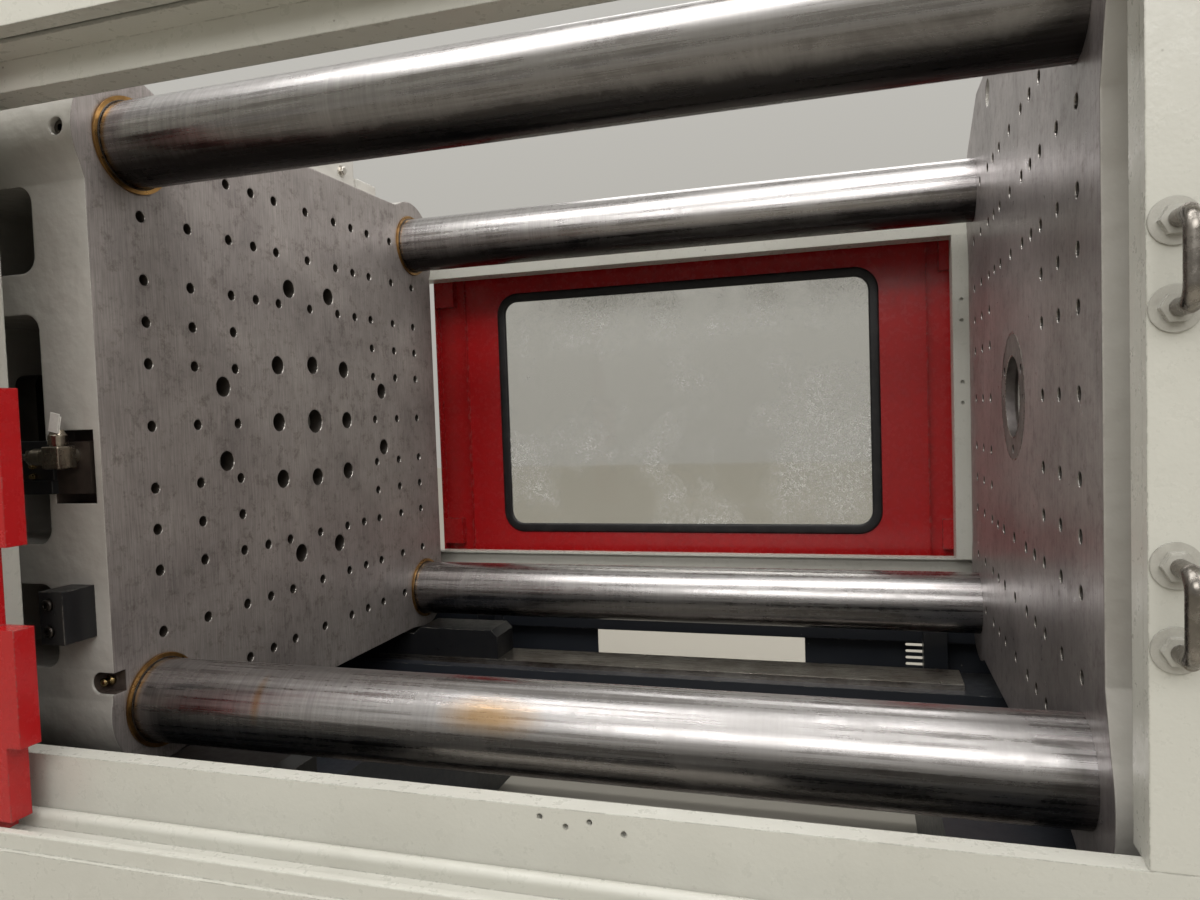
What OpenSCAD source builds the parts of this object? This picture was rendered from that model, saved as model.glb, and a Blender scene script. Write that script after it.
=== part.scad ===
// Injection moulding machine with a horizontal hydraulic clamp.
// Lengths are in millimetres. X runs from the clamp end to the injection end, the operator
// stands on the -Y side, and Z is up from the floor. The origin is on the floor at the middle.
// Most places are given from the machine axis: x = 0 on the fixed mould face, y = 0 and z = 0
// on the centreline.

/* [Machine] */
// Height of the centreline above the floor
centre_h = 1560; // [1540:5:1620]
// Bed length behind the end cap of the clamp cylinder
clamp_tail = 110; // [90:5:300]
// Bed length from the fixed mould face to the injection end
inject_len = 5250; // [5240:5:5500]
// Room from the fixed platen's corner to the outer face of the covers
side_room = 156; // [140:1:180]
// Thickness of a folded sheet cover with its hems
cover_t = 20; // [12:1:26]

/* [Tie bars] */
// Diameter of a tie bar
bar_d = 200; // [190:1:206]
// Distance between tie bar centres, across and up
bar_pitch = 1346; // [1340:1:1350]
// Diameter of a tie bar nut
nut_d = 320; // [300:2:330]
// Length of a tie bar nut
nut_len = 170; // [150:2:190]

/* [Platens] */
// Distance between the mould faces with the clamp open
daylight = 2030; // [2000:5:2040]
// Thickness of the fixed platen
fixed_t = 450; // [440:1:460]
// Thickness of the moving platen
moving_t = 620; // [600:5:640]
// Thickness of the front wall of the moving platen
front_wall = 160; // [150:1:180]
// Thickness of the back wall of the moving platen
back_wall = 110; // [90:1:120]
// Thickness of the clamp platen
clamp_t = 520; // [500:5:540]
// Gap between the moving platen and the clamp platen with the clamp open
open_gap = 250; // [240:1:270]
// Radius of the upper corners round the tie bars, on the moving and the clamp platen
ear_r = 168; // [160:1:174]
// Radius of the fixed platen's corners round the tie bars
fixed_ear_r = 187; // [180:1:194]
// Pitch of the mould bolt pattern
hole_unit = 25.4; // [25:0.1:25.4]
// Drilled diameter of a tapped mould bolt hole
tap_d = 28; // [22:1:30]
// Depth of a tapped mould bolt hole
tap_depth = 70; // [40:5:90]
// Diameter of an ejector hole
eject_hole_d = 55; // [54:1:58]

/* [Clamp cylinder] */
// Diameter of the ram
ram_d = 740; // [700:5:750]
// Length of the ram
ram_len = 1830; // [1800:5:1850]
// Radial wall of the cylinder barrel round its chamber
barrel_wall = 100; // [80:5:110]

/* [Ejector] */
// Stroke of the ejector plate
eject_stroke = 250; // [200:5:250]
// Thickness of the ejector plate
eject_t = 70; // [60:1:80]
// Diameter of an ejector rod
eject_rod_d = 50; // [44:1:50]

/* [Guards] */
// Width of a gate
gate_w = 2160; // [2140:5:2180]
// Distance that the open front gate has slid
gate_travel = 2050; // [2000:5:2060]
// Width of a gate window's hole
window_w = 1545; // [1500:5:1560]
// Height of a gate window's hole
window_h = 1002; // [960:2:1010]
// Corner radius of a gate window
window_r = 75; // [60:1:90]
// Depth of a gate's folded edge
gate_t = 45; // [40:1:48]

/* [Injection unit] */
// Outer diameter of the barrel
barrel_d = 260; // [240:2:270]
// Diameter of the screw
screw_d = 110; // [90:1:120]
// Shot stroke of the screw
shot = 400; // [350:5:400]
// Length of the heated barrel behind its end cap
barrel_len = 2230; // [2200:5:2240]
// Diameter of an injection cylinder
shot_cyl_d = 190; // [170:2:200]
// Side of the square hopper mouth
hopper_w = 700; // [600:10:720]
// Height of the hopper bin
hopper_h = 620; // [560:10:660]

/* [Hidden] */
$fn = 64;

fit = 0.3;            // clearance between round pieces that slide or seat in each other
eps = 1;              // how far a cut runs past a face
floor_z = -centre_h;

// Tie bars
bar_r = bar_d / 2;
bar_half = bar_pitch / 2;
bar_spots = [for (sy = [-1, 1], sz = [-1, 1]) [sy * bar_half, sz * bar_half]];

// Platens, front face first
moving_x0 = -daylight;
moving_x1 = moving_x0 - moving_t;
clamp_x0 = moving_x1 - open_gap;
clamp_x1 = clamp_x0 - clamp_t;
reach = bar_half + ear_r;     // how far an upper corner reaches from the centreline
low_ear_r = ear_r - 16;       // radius of the lower corners
side_half = reach - 29;       // the waist of a platen's side
edge_half = reach - 32;       // its top and bottom edges
fixed_reach = bar_half + fixed_ear_r;
fixed_half = fixed_reach - 53;
fixed_top = fixed_reach + 80;
fixed_foot = fixed_reach - 27;
cover_half = fixed_reach + side_room;   // half width over the outer face of the fixed covers
mould_cols = [0, 6, 10, 14, 20, 26];
eject_spots = [[16, 4], [4, 16], [0, 7], [7, 0], [6.75, 6.7]];
centre_hole_r = 37;
bush_r = bar_r + 13;
bush_len = 150;
bush_proud = 6;
port_z = -592;                // the grease port on the moving platen's edge

// Clamp cylinder and ram
ram_r = ram_d / 2;
cyl_bore_r = ram_r + 30;
cyl_r = cyl_bore_r + barrel_wall;
cyl_flange_r = cyl_r + 120;
cyl_flange_t = 80;
ram_end = moving_x1 - ram_len;
cyl_end = ram_end - 20;
cyl_cap = 110;
cap_out = 30;
cyl_x0 = cyl_end - cyl_cap - cap_out;
clamp_len = clamp_tail - cyl_x0;        // from the fixed mould face to the clamp end
mould_face_x = (clamp_len - inject_len) / 2;

// Ways that carry the moving platen
way_y = 635;
way_w = 160;
strip_t = 20;
bed_top = -934;
strip_top = bed_top + strip_t;
beam_w = 240;
beam_h = 340;
platen_foot = reach - 11;     // underside of the moving platen's foot pads
shoe_w = 150;
shoe_nose = 350;
bed_half = cover_half - 66;   // half width of the beds
bed_split = fixed_t + nut_len + 40;  // where the clamp bed meets the injection bed
foot_h = 60;                  // height of the levelling mounts
bed_bottom = floor_z + foot_h;
pedestal_top = bed_top - 66;
pedestals = [[-clamp_len, -clamp_len + 320], [clamp_x1 - 80, -1780], [-200, bed_split]];
rail_top = -824;              // top of the bed's side rails, where the sills stand

// Ejector
cavity_half_z = 270;
cavity_half_y = 260;
cavity_high = 480;
cavity_x0 = moving_x0 - front_wall;
cavity_x1 = moving_x1 + back_wall;
eject_x1 = cavity_x1 + 5;
eject_x0 = eject_x1 + eject_t;
eject_cyl_y = 520;
eject_cyl_r = 60;
eject_cyl_len = open_gap - 30;
eject_rod_r = 25;
knock_spots = [[16, 4], [4, 16]];

// Guards
gate_y0 = cover_half + 46;    // inner edge of a gate
gate_y1 = gate_y0 + gate_t;
gate_z0 = -800;
gate_z1 = 733;                // top of the front gate
rear_gate_z1 = 676;           // top of the rear gate
gate_x1 = 20;
gate_x0 = gate_x1 - gate_w;
skin_t = 6;
window_x = (gate_x0 + gate_x1) / 2 - 11;
window_z = 6;
gasket_lip = 16;
gasket_in = 22;
sill_top = -673;
rear_sill_top = -577;
ridge_top = -780;
gutter_z = rail_top + 12;
skirt_z = -936;
header_z = 678;               // underside of the front header at the covers
header_gate_z = 739;          // its underside over the gate
rear_header_z = 584;
header_h = 240;
guide_w = 14;                 // width of a gate's top guide
track_x0 = -clamp_len + 30;
track_x1 = 740;
post_w = 60;
cover_in = cover_half - cover_t;

// Injection unit
deck_z = -620;
deck_beam = 240;              // height of the deck's beams
pump_fin = 22;
pump_under = 38;              // from the pump's floor to its fins
pump_over = 58;               // from its fins to the deck's beams
pump_room = deck_z - deck_beam - bed_bottom - 100;
pump_r = (pump_room - pump_under - pump_over) / 2 - pump_fin;
pump_foot = pump_under + 5 + 0.235 * pump_r;   // the feet rise to its flange and lower fins
rail_y = 330;
rail_w = 90;
rail_h = 60;
sled_x0 = 760;
sled_bottom = deck_z + rail_h + 5;
sled_t = 85;
sled_top = sled_bottom + sled_t;
sled_half = 420;
barrel_r = barrel_d / 2;
cap_x = 520;
nozzle_x = 80;
barrel_x1 = cap_x + barrel_len;
band_x0 = sled_x0 + 190;
band_pitch = (barrel_x1 - 270 - band_x0) / 6;
housing_x1 = barrel_x1 + 400;
housing_half = 450;
throat_x = barrel_x1 + 200;
housing_top = 230;
screw_r = screw_d / 2;
screw_bore_r = screw_r + 1.5;
screw_root_r = screw_r - 17;
cross_x0 = housing_x1 + 700 + 90;
cross_t = 140;
sled_x1 = cross_x0 + cross_t + shot + 20;
shot_cyl_y = 330;
shot_rod_r = 45;
pull_z = -330;
pull_y = 330;
pull_r = 52;
pull_rod_r = 28;
motor_r = 190;
guard_half = 240;
guard_top = 265;
hopper_z = housing_top + 60;
cone_h = 330;
lid_z = 20 + cone_h + hopper_h;   // top of the rim, from the hopper's foot
lid_pin_r = 5;
purge_x0 = fixed_t + 30;
purge_x1 = sled_x0 + 150;
purge_half = guard_half + 60;
purge_top = guard_top + 45;
hinge_pin_r = 10;
hinge_y = purge_half + 22;
purge_z = -230;
hinge_z = purge_z + 14;

// Electrical cabinet and control panel
cab_x0 = 1500;
cab_x1 = 3320;
cab_y0 = cover_half - 376;
cab_top = 500;
door_t = 28;
door_hinges = [deck_z + 160, cab_top - 260];
panel_x = 780;
panel_w = 460;
panel_h = 600;
panel_z = -120;
panel_y0 = -cover_half - 40;
panel_t = 88;

module at_axis() translate([mould_face_x, 0, centre_h]) children();

// A block between two corners
module block(x0, x1, y0, y1, z0, z1) translate([x0, y0, z0]) cube([x1 - x0, y1 - y0, z1 - z0]);

// A round bar along X
module bar_x(x0, x1, r, y = 0, z = 0)
    translate([x0, y, z]) rotate([0, 90, 0]) cylinder(h = x1 - x0, r = r);

// A round bar along Y
module bar_y(y0, y1, r, x, z) translate([x, y1, z]) rotate([90, 0, 0]) cylinder(h = y1 - y0, r = r);

// A flat outline in Y and Z, drawn out along X
module along_x(x0, x1) translate([x0, 0, 0]) rotate([90, 0, 90]) linear_extrude(x1 - x0) children();

// A flat outline in X and Z, drawn out along Y
module along_y(y0, y1) translate([0, y1, 0]) rotate([90, 0, 0]) linear_extrude(y1 - y0) children();

module both_sides() {
    children();
    mirror([0, 1, 0]) children();
}

module all_corners() {
    both_sides() children();
    mirror([0, 0, 1]) both_sides() children();
}

// A rectangle with round corners, centred
module rounded(w, h, r) {
    square([w - 2 * r, h], center = true);
    square([w, h - 2 * r], center = true);
    for (sx = [-1, 1], sy = [-1, 1])
        translate([sx * (w / 2 - r), sy * (h / 2 - r)]) circle(r);
}

// Where a straight edge touches a circle of radius r round a tie bar. The edge starts a distance
// out from the bar's centre and a distance back from it. Returned as out and along.
function ear_touch(out, back, r) =
    let (a = atan2(back, out) - acos(r / norm([out, back]))) r * [cos(a), -sin(a)];

// One quarter of a platen's outline: a straight side, a round corner at the tie bar, a flat top
module platen_quarter(waist, waist_back, ear, top, top_back) {
    c = bar_half;
    side = ear_touch(waist - c, waist_back, ear - 2);
    head = ear_touch(top - c, top_back, ear - 2);
    polygon([[0, 0], [waist, 0], [waist, c - waist_back], [c + side[0], c + side[1]], [c, c],
        [c + head[1], c + head[0]], [c - top_back, top], [0, top]]);
    translate([c, c]) circle(ear);
}

module platen_outline() {
    for (s = [0, 1]) mirror([s, 0]) {
        platen_quarter(side_half, 110, ear_r, edge_half, 115);
        mirror([0, 1]) platen_quarter(side_half, 110, low_ear_r, edge_half, 115);
    }
}

module fixed_outline() {
    for (s = [0, 1]) mirror([s, 0]) {
        platen_quarter(fixed_half, 193, fixed_ear_r, fixed_top, 113);
        mirror([0, 1]) platen_quarter(fixed_half, 193, fixed_ear_r, fixed_foot, 110);
    }
}

// Places of the tapped mould bolt holes: a grid with its middle and corners left out
function mould_holes() = [for (a = mould_cols, b = mould_cols)
    if (max(a, b) >= 14 && min(a, b) < 26) [a, b] * hole_unit];

module tapped_holes(face_x, dir) {
    for (h = mould_holes())
        for (sy = h[0] == 0 ? [1] : [-1, 1], sz = h[1] == 0 ? [1] : [-1, 1])
            bar_x(face_x + min(-eps * dir, tap_depth * dir), face_x + max(-eps * dir, tap_depth * dir),
                tap_d / 2, sy * h[0], sz * h[1], $fn = 24);
}

// Foot pads that carry a platen on the two ways
module platen_feet(x0, x1, z0) {
    both_sides() block(x0, x1, way_y - shoe_w / 2, way_y + shoe_w / 2, z0, -edge_half + 40);
}

module tie_bar_bores(x0, x1, r) {
    for (b = bar_spots) bar_x(x0, x1, r, b[0], b[1]);
}

module clamp_bed() {
    color("#1d212b") at_axis() difference() {
        union() {
            both_sides() {
                block(-clamp_len, bed_split, way_y - beam_w / 2, way_y + beam_w / 2,
                    bed_top - beam_h, bed_top);
                block(-clamp_len, bed_split, bed_half - 10, cover_half + 80, rail_top - 60, rail_top);
                for (p = pedestals, x = [p[0] + 40, p[1] - 120])
                    block(x, x + 80, bed_half - 90, bed_half - 10, pedestal_top - 1, rail_top);
            }
            for (p = pedestals) block(p[0], p[1], -bed_half, bed_half, bed_bottom, pedestal_top);
            block(cyl_x0 + 90, cyl_x0 + 210, -cyl_r + 40, cyl_r - 40, pedestal_top - 1, -cyl_r + 200);
        }
        for (p = pedestals) block(p[0] + 40, p[1] - 40, -bed_half + 200, bed_half - 200,
            bed_bottom - eps, pedestal_top - 40);
        bar_x(cyl_x0 - 10, cyl_x0 + 290, cyl_r + fit);
    }
}

module injection_bed() {
    color("#1d212b") at_axis() union() {
        both_sides() block(bed_split, inject_len, rail_y - 110, rail_y + 110, deck_z - deck_beam, deck_z);
        both_sides() block(bed_split, inject_len, bed_half - 160, bed_half, bed_bottom, bed_bottom + 120);
        for (x = [bed_split, cab_x0 + 20, cab_x1 - 180, inject_len - 160]) {
            block(x, x + 160, -bed_half, bed_half, deck_z - deck_beam, deck_z);
            both_sides() block(x, x + 160, bed_half - 160, bed_half, bed_bottom, deck_z);
        }
        for (x = [900, 1800, 2600, 3400])
            block(x, x + 100, -bed_half, bed_half, bed_bottom, bed_bottom + 100);
    }
}

module way_strips() {
    color("#8b8883") at_axis() both_sides() difference() {
        block(clamp_x0 + 40, -60, way_y - way_w / 2, way_y + way_w / 2, bed_top, strip_top);
        for (x = [clamp_x0 + 232 : 508 : -100], y = [-70, 70])
            translate([x, way_y + y, strip_top - 8]) cylinder(h = 9, r = 9, $fn = 24);
    }
}

module levelling_mounts() {
    color("#4a4d52") at_axis() both_sides()
        for (x = [-clamp_len + 160, clamp_x1 + 60, pedestals[1][1] - 150, pedestals[2][0] + 400,
            bed_split + 80, cab_x0 + 100, cab_x1 - 100, inject_len - 90])
            translate([x, bed_half - 80, floor_z]) {
                cylinder(h = 26, r = 85);
                cylinder(h = 44, r = 34, $fn = 6);
                cylinder(h = foot_h, r = 20);
            }
}

module fixed_platen() {
    // The hole behind the locating ring is a little narrower than the ring's own
    throat_r = 95;
    color("#c9c8c0") at_axis() difference() {
        union() {
            along_x(0, fixed_t) fixed_outline();
            platen_feet(60, fixed_t - 40, bed_top);
            bar_x(fixed_t - 1, purge_x1 - 40, hinge_pin_r, hinge_y, hinge_z, $fn = 32);
        }
        tie_bar_bores(-eps, fixed_t + eps, bar_r + fit);
        tapped_holes(0, 1);
        for (s = [-1, 1]) bar_x(-eps, 90, 38, s * 336, fixed_top - 74);
        bar_x(-eps, 30, 160 + fit);
        bar_x(-eps, 160, throat_r);
        translate([150, 0, 0]) rotate([0, 90, 0]) cylinder(h = fixed_t - 150 + eps, r1 = throat_r, r2 = 290);
        for (s = [-1, 1]) {
            along_x(fixed_t - 180, fixed_t + eps)
                translate([s * (fixed_half - 247), 0]) rounded(330, 620, 60);
            along_x(fixed_t - 180, fixed_t + eps) translate([0, s * 560]) rounded(620, 300, 60);
        }
        // Shallow lightening pockets in the two sides
        both_sides() along_y(fixed_half - 70, fixed_reach + eps)
            translate([250, 0]) rounded(150, 620, 50);
    }
}

module locating_ring() {
    color("#5d5954") at_axis() difference() {
        bar_x(0, 30, 160);
        bar_x(-eps, 31, 101.5);
        translate([30, 0, 0]) rotate([0, -90, 0]) cylinder(h = 8, r1 = 108, r2 = 101.5);
        for (a = [30, 150, 270])
            bar_x(-eps, 31, 7, 131 * cos(a), 131 * sin(a), $fn = 24);
        for (a = [30, 150, 270])
            bar_x(-eps, 12, 12, 131 * cos(a), 131 * sin(a), $fn = 24);
        for (a = [0, 180])
            bar_x(-eps, 31, 6, 131 * cos(a), 131 * sin(a), $fn = 24);
    }
}

module clamp_platen() {
    color("#c9c8c0") at_axis() difference() {
        union() {
            along_x(clamp_x1, clamp_x0) platen_outline();
            platen_feet(clamp_x1 + 40, clamp_x0 - 40, bed_top);
        }
        tie_bar_bores(clamp_x1 - eps, clamp_x0 + eps, bar_r + fit);
        bar_x(clamp_x1 - eps, clamp_x0 + eps, cyl_r + fit);
        both_sides() along_y(side_half - 160, reach + eps)
            translate([(clamp_x0 + clamp_x1) / 2, 0]) rounded(clamp_t - 200, 700, 60);
    }
}

module tie_bars() {
    over = nut_len + 20;
    color("#a6a4a0") at_axis() for (b = bar_spots) {
        bar_x(clamp_x1 - over + 10, fixed_t + over - 10, bar_r, b[0], b[1]);
        for (e = [[fixed_t + over - 10, 1], [clamp_x1 - over + 10, -1]])
            translate([e[0], b[0], b[1]]) rotate([0, 90 * e[1], 0])
                cylinder(h = 10, r1 = bar_r, r2 = bar_r - 10);
    }
}

module tie_bar_nuts() {
    color("#55565a") at_axis() for (b = bar_spots, x = [clamp_x1 - nut_len, fixed_t]) difference() {
        bar_x(x, x + nut_len, nut_d / 2, b[0], b[1]);
        bar_x(x - eps, x + nut_len + eps, bar_r + fit, b[0], b[1]);
        for (a = [0 : 60 : 300]) translate([x - eps, b[0], b[1]]) rotate([a, 0, 0])
            translate([0, nut_d / 2 - 14, -15]) cube([nut_len + 2 * eps, 30, 30]);
    }
}

module clamp_cylinder() {
    color("#c9c8c0") at_axis() difference() {
        union() {
            bar_x(cyl_end - cyl_cap, clamp_x0, cyl_r, $fn = 96);
            bar_x(clamp_x1 - cyl_flange_t, clamp_x1, cyl_flange_r, $fn = 96);
            bar_x(cyl_x0, cyl_end - cyl_cap, 250);
        }
        bar_x(cyl_end, clamp_x0 - 180, cyl_bore_r, $fn = 96);
        bar_x(clamp_x0 - 181, clamp_x0 + eps, ram_r + fit, $fn = 96);
        for (a = [15 : 30 : 345])
            bar_x(clamp_x1 - cyl_flange_t - eps, clamp_x1 - cyl_flange_t + 34, 34,
                (cyl_flange_r - 55) * cos(a), (cyl_flange_r - 55) * sin(a), $fn = 24);
    }
}

module prefill_tank() {
    x0 = cyl_end + 60;
    x1 = clamp_x1 - 230;
    z0 = cyl_r + 80;
    color("#c9c8c0") at_axis() difference() {
        union() {
            along_x(x0, x1) translate([0, z0 + 190]) rounded(760, 380, 90);
            for (x = [x0 + 60, x1 - 120]) block(x, x + 60, -260, 260, cyl_r - 90, z0 + 10);
            translate([(x0 + x1) / 2, 0, z0 + 379]) cylinder(h = 60, r = 130);
            translate([(x0 + x1) / 2, 0, z0 + 438]) cylinder(h = 24, r = 165);
            translate([x0 + 190, 0, cyl_r - 20]) cylinder(h = z0 - cyl_r + 40, r = 90);
        }
        bar_x(x0 - eps, x1 + eps, cyl_r + 0.1, $fn = 96);
    }
}

// Section of a sill: an upright, a round ridge, a gutter for the gate, a second ridge and a skirt
module sill_section(top) {
    translate([cover_in, gutter_z - 12]) square([cover_t, top - gutter_z + 12]);
    translate([cover_in - 22, top - 8]) square([24, 8]);
    translate([cover_in, gutter_z - 12]) square([cover_t + 124, 12]);
    translate([cover_half - 1, gutter_z - 1]) square([31, ridge_top - gutter_z - 14]);
    translate([cover_half + 15, ridge_top - 15]) circle(15, $fn = 32);
    translate([gate_y1 + 6, gutter_z - 24]) square([18, ridge_top - gutter_z + 21]);
    translate([gate_y1 + 9, ridge_top - 3]) circle(3, $fn = 24);
    translate([gate_y1 + 21, ridge_top - 3]) circle(3, $fn = 24);
    translate([gate_y1 + 9, ridge_top - 4]) square([12, 4]);
    translate([cover_half + 112, skirt_z]) square([12, gutter_z - skirt_z]);
}

module front_sill() {
    color("#c9c8c0") at_axis() mirror([0, 1, 0]) difference() {
        along_x(track_x0, track_x1) sill_section(sill_top);
        for (h = [[-910, -13], [-864, -26], [-821, -14], [-762, -28]])
            bar_y(cover_in - eps, cover_half + eps, 5, h[0], sill_top + h[1] - 4, $fn = 16);
    }
}

module rear_sill() {
    color("#c9c8c0") at_axis() along_x(track_x0, track_x1) sill_section(rear_sill_top);
}

// Section of the front header: a box over the covers and a wider one over the gate, slotted
// underneath for the gate's guide
module front_header_section() {
    top = header_z + header_h;
    outer = cover_half + 114;
    guide = (gate_y0 + gate_y1) / 2;
    difference() {
        union() {
            translate([cover_in - 50, header_z]) square([cover_t + 50, header_h]);
            translate([cover_half - 1, header_gate_z]) square([outer - cover_half + 1, top - header_gate_z]);
        }
        translate([cover_in - 42, header_z + 8]) square([cover_t + 34, header_h - 16]);
        translate([cover_half, header_gate_z + 8]) square([outer - cover_half - 8, top - header_gate_z - 16]);
        translate([guide - guide_w / 2 - fit, header_gate_z - eps]) square([guide_w + 2 * fit, 10]);
    }
}

// Section of the rear header: a box inside the gate, with a slotted guide strip over the gate
module rear_header_section() {
    guide = (gate_y0 + gate_y1) / 2;
    top = rear_gate_z1 + 14;
    difference() {
        union() {
            translate([cover_in - 50, rear_header_z]) square([cover_t + 74, top - rear_header_z]);
            translate([cover_half + 23, rear_gate_z1 + 6]) square([91, 8]);
            translate([cover_half + 106, rear_gate_z1 - 30]) square([8, 44]);
        }
        translate([cover_in - 42, rear_header_z + 8]) square([cover_t + 58, top - rear_header_z - 16]);
        translate([guide - guide_w / 2 - fit, rear_gate_z1]) square([guide_w + 2 * fit, 20]);
    }
}

module front_header() {
    color("#c9c8c0") at_axis() mirror([0, 1, 0]) along_x(track_x0, track_x1) front_header_section();
}

module rear_header() {
    color("#c9c8c0") at_axis() along_x(track_x0, track_x1) rear_header_section();
}

module gate_posts() {
    color("#c9c8c0") at_axis() {
        difference() {
            block(-39, -39 + post_w, cover_in - post_w, cover_in, rear_sill_top, rear_header_z);
            for (z = [354, 280, 62, -12])
                bar_y(cover_in - post_w - eps, cover_in - post_w + 12, 6, -9, z, $fn = 16);
        }
        block(4, 4 + post_w, -cover_in, -cover_in + post_w, sill_top, header_z);
        block(gate_x0 - post_w, gate_x0, cover_in - post_w, cover_in, rear_sill_top, rear_header_z);
        block(gate_x0 - post_w, gate_x0, -cover_in, -cover_in + post_w, sill_top, header_z);
    }
}

// A sheet cover with a folded edge all round, lying in X and Z, outer face at y1
module folded_cover(x0, x1, y0, y1, z0, z1) {
    difference() {
        block(x0, x1, y0, y1, z0, z1);
        block(x0 + 3, x1 - 3, y0 - eps, y1 - 3, z0 + 3, z1 - 3);
    }
}

// Two folded covers beside the clamp, from the end cover to the gate
module side_covers(z0, z1) {
    x0 = track_x0;
    x1 = gate_x0 - post_w / 2;
    difference() {
        union() {
            folded_cover(x0, (x0 + x1) / 2 - 2, cover_in, cover_half, z0, z1);
            folded_cover((x0 + x1) / 2 + 2, x1, cover_in, cover_half, z0, z1);
        }
        for (z = [-420 : 44 : -240]) along_y(cover_in - eps, cover_half + eps)
            translate([x0 + 620, z]) rounded(380, 18, 8.9);
    }
}

module clamp_covers() {
    x0 = -clamp_len + 10;
    color("#c9c8c0") at_axis() {
        mirror([0, 1, 0]) side_covers(sill_top, header_z);
        side_covers(rear_sill_top, rear_header_z);
        difference() {
            block(x0, track_x0 - 2, -cover_half, cover_half, rail_top, rear_header_z);
            block(x0 + 3, track_x0, -cover_half + 3, cover_half - 3, rail_top + 3, rear_header_z - 3);
        }
    }
}

module base_panels() {
    z0 = bed_bottom + 40;
    clamp_top = rail_top - 62;
    color("#1d212b") at_axis() both_sides() {
        difference() {
            folded_cover(-clamp_len + 20, bed_split - 2, bed_half, bed_half + 14, z0, clamp_top);
            block(-1408, -580, bed_half - eps, bed_half + 20, z0 + 90, clamp_top + eps);
            for (z = [clamp_top - 110 : 24 : clamp_top - 10]) along_y(bed_half - eps, bed_half + 20)
                translate([-165, z]) rounded(104, 10, 4.9);
            for (z = [z0 + 200 : 44 : z0 + 400]) along_y(bed_half - eps, bed_half + 20)
                translate([-3900, z]) rounded(420, 18, 8.9);
        }
        difference() {
            folded_cover(bed_split + 2, inject_len - 10, bed_half, bed_half + 14, z0, deck_z - 10);
            for (z = [z0 + 200 : 44 : z0 + 420], x = [1100, 2900]) along_y(bed_half - eps, bed_half + 20)
                translate([x, z]) rounded(460, 18, 8.9);
        }
    }
}

module injection_covers() {
    color("#c9c8c0") at_axis() {
        mirror([0, 1, 0]) folded_cover(2, track_x1, cover_in, cover_half, sill_top, header_z);
        folded_cover(-39, track_x1, cover_in, cover_half, rear_sill_top, rear_header_z);
        for (z = [panel_z + 80, panel_z + panel_h - 140]) {
            block(track_x1 - 60, panel_x + 22, -cover_half - 12, -cover_half, z, z + 60);
            block(panel_x - 22, panel_x + 22, -cover_half - 76, -cover_half - 11, z, z + 28);
            translate([panel_x, -cover_half - 57, z + 27]) cylinder(h = 31, r = 8, $fn = 32);
        }
    }
}

// A bow handle along Z, standing off a face that looks along +Y
module bow_handle(x, y, z0, z1, r, off) {
    translate([x, y, 0]) {
        for (z = [z0, z1])
            translate([0, 0, z]) rotate([-90, 0, 0]) cylinder(h = off - 2 * r, r = r, $fn = 32);
        translate([0, off - r, z0 + 2 * r]) cylinder(h = z1 - z0 - 4 * r, r = r, $fn = 32);
        for (e = [[z0, 1], [z1, -1]])
            translate([0, off - 3 * r, e[0] + e[1] * 2 * r]) rotate([0, -90, 0])
                rotate([0, 0, e[1] > 0 ? 90 : 0]) rotate_extrude(angle = 90, $fn = 32)
                    translate([2 * r, 0]) circle(r, $fn = 32);
    }
}

module grab_handles() {
    color("#c9c8c0") at_axis() mirror([0, 1, 0]) for (z = [109, -358]) {
        bow_handle(36, cover_half, z, z + 117, 12.5, 82);
        for (w = [z, z + 117]) {
            bar_y(cover_half, cover_half + 4, 33, 36, w);
            bar_y(cover_half + 4, cover_half + 17, 22, 36, w, $fn = 6);
        }
    }
}

// Section of a carriage rail with a waist, or of the slot that runs on it when grown by c
module rail_section(c = 0) {
    b = rail_w / 2 + c;
    n = b - 15;
    up = 0.43 * c;
    half = [[b, -c], [b, 20 + up], [n, 34 + up], [n, rail_h - 16 - up], [b, rail_h - up], [b, rail_h + c]];
    polygon(concat(half, [for (i = [5 : -1 : 0]) [-half[i][0], half[i][1]]]));
}

module carriage_rails() {
    color("#8b8883") at_axis() both_sides()
        along_x(600, inject_len - 90) translate([rail_y, deck_z]) rail_section();
}

module pull_in_rods() {
    color("#c4c4c4") at_axis() both_sides() {
        bar_x(fixed_t + 40, 1900, pull_rod_r, pull_y, pull_z);
        block(fixed_t, fixed_t + 60, pull_y - 70, pull_y + 70, pull_z - 70, pull_z + 70);
    }
}

module oil_tank() {
    z0 = bed_bottom + 100;
    color("#3a3f49") at_axis() {
        block(850, 2050, -560, 560, z0, deck_z - 300);
        translate([1000, 400, deck_z - 301]) cylinder(h = 46, r = 60);
        for (y = [-300, 0]) translate([1700, y, deck_z - 301]) cylinder(h = 56, r = 45);
    }
}

module pump_motor() {
    z0 = bed_bottom + 100;
    zc = z0 + pump_under + pump_fin + pump_r;
    color("#3f6a86") at_axis() union() {
        bar_x(2760, 3460, pump_r, 0, zc);
        bar_x(2700, 2761, pump_r + 25, 0, zc);
        bar_x(2560, 2701, pump_r - 80, 0, zc);
        for (a = [0 : 20 : 340]) translate([2800, 0, zc]) rotate([a, 0, 0])
            block(0, 620, -4, 4, pump_r - 5, pump_r + pump_fin);
        both_sides() block(2620, 3500, 0.65 * pump_r, 1.05 * pump_r, z0, z0 + pump_foot);
        block(2850, 3100, -60, 60, zc + pump_r - 10, zc + pump_r + 100);
    }
}

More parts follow.
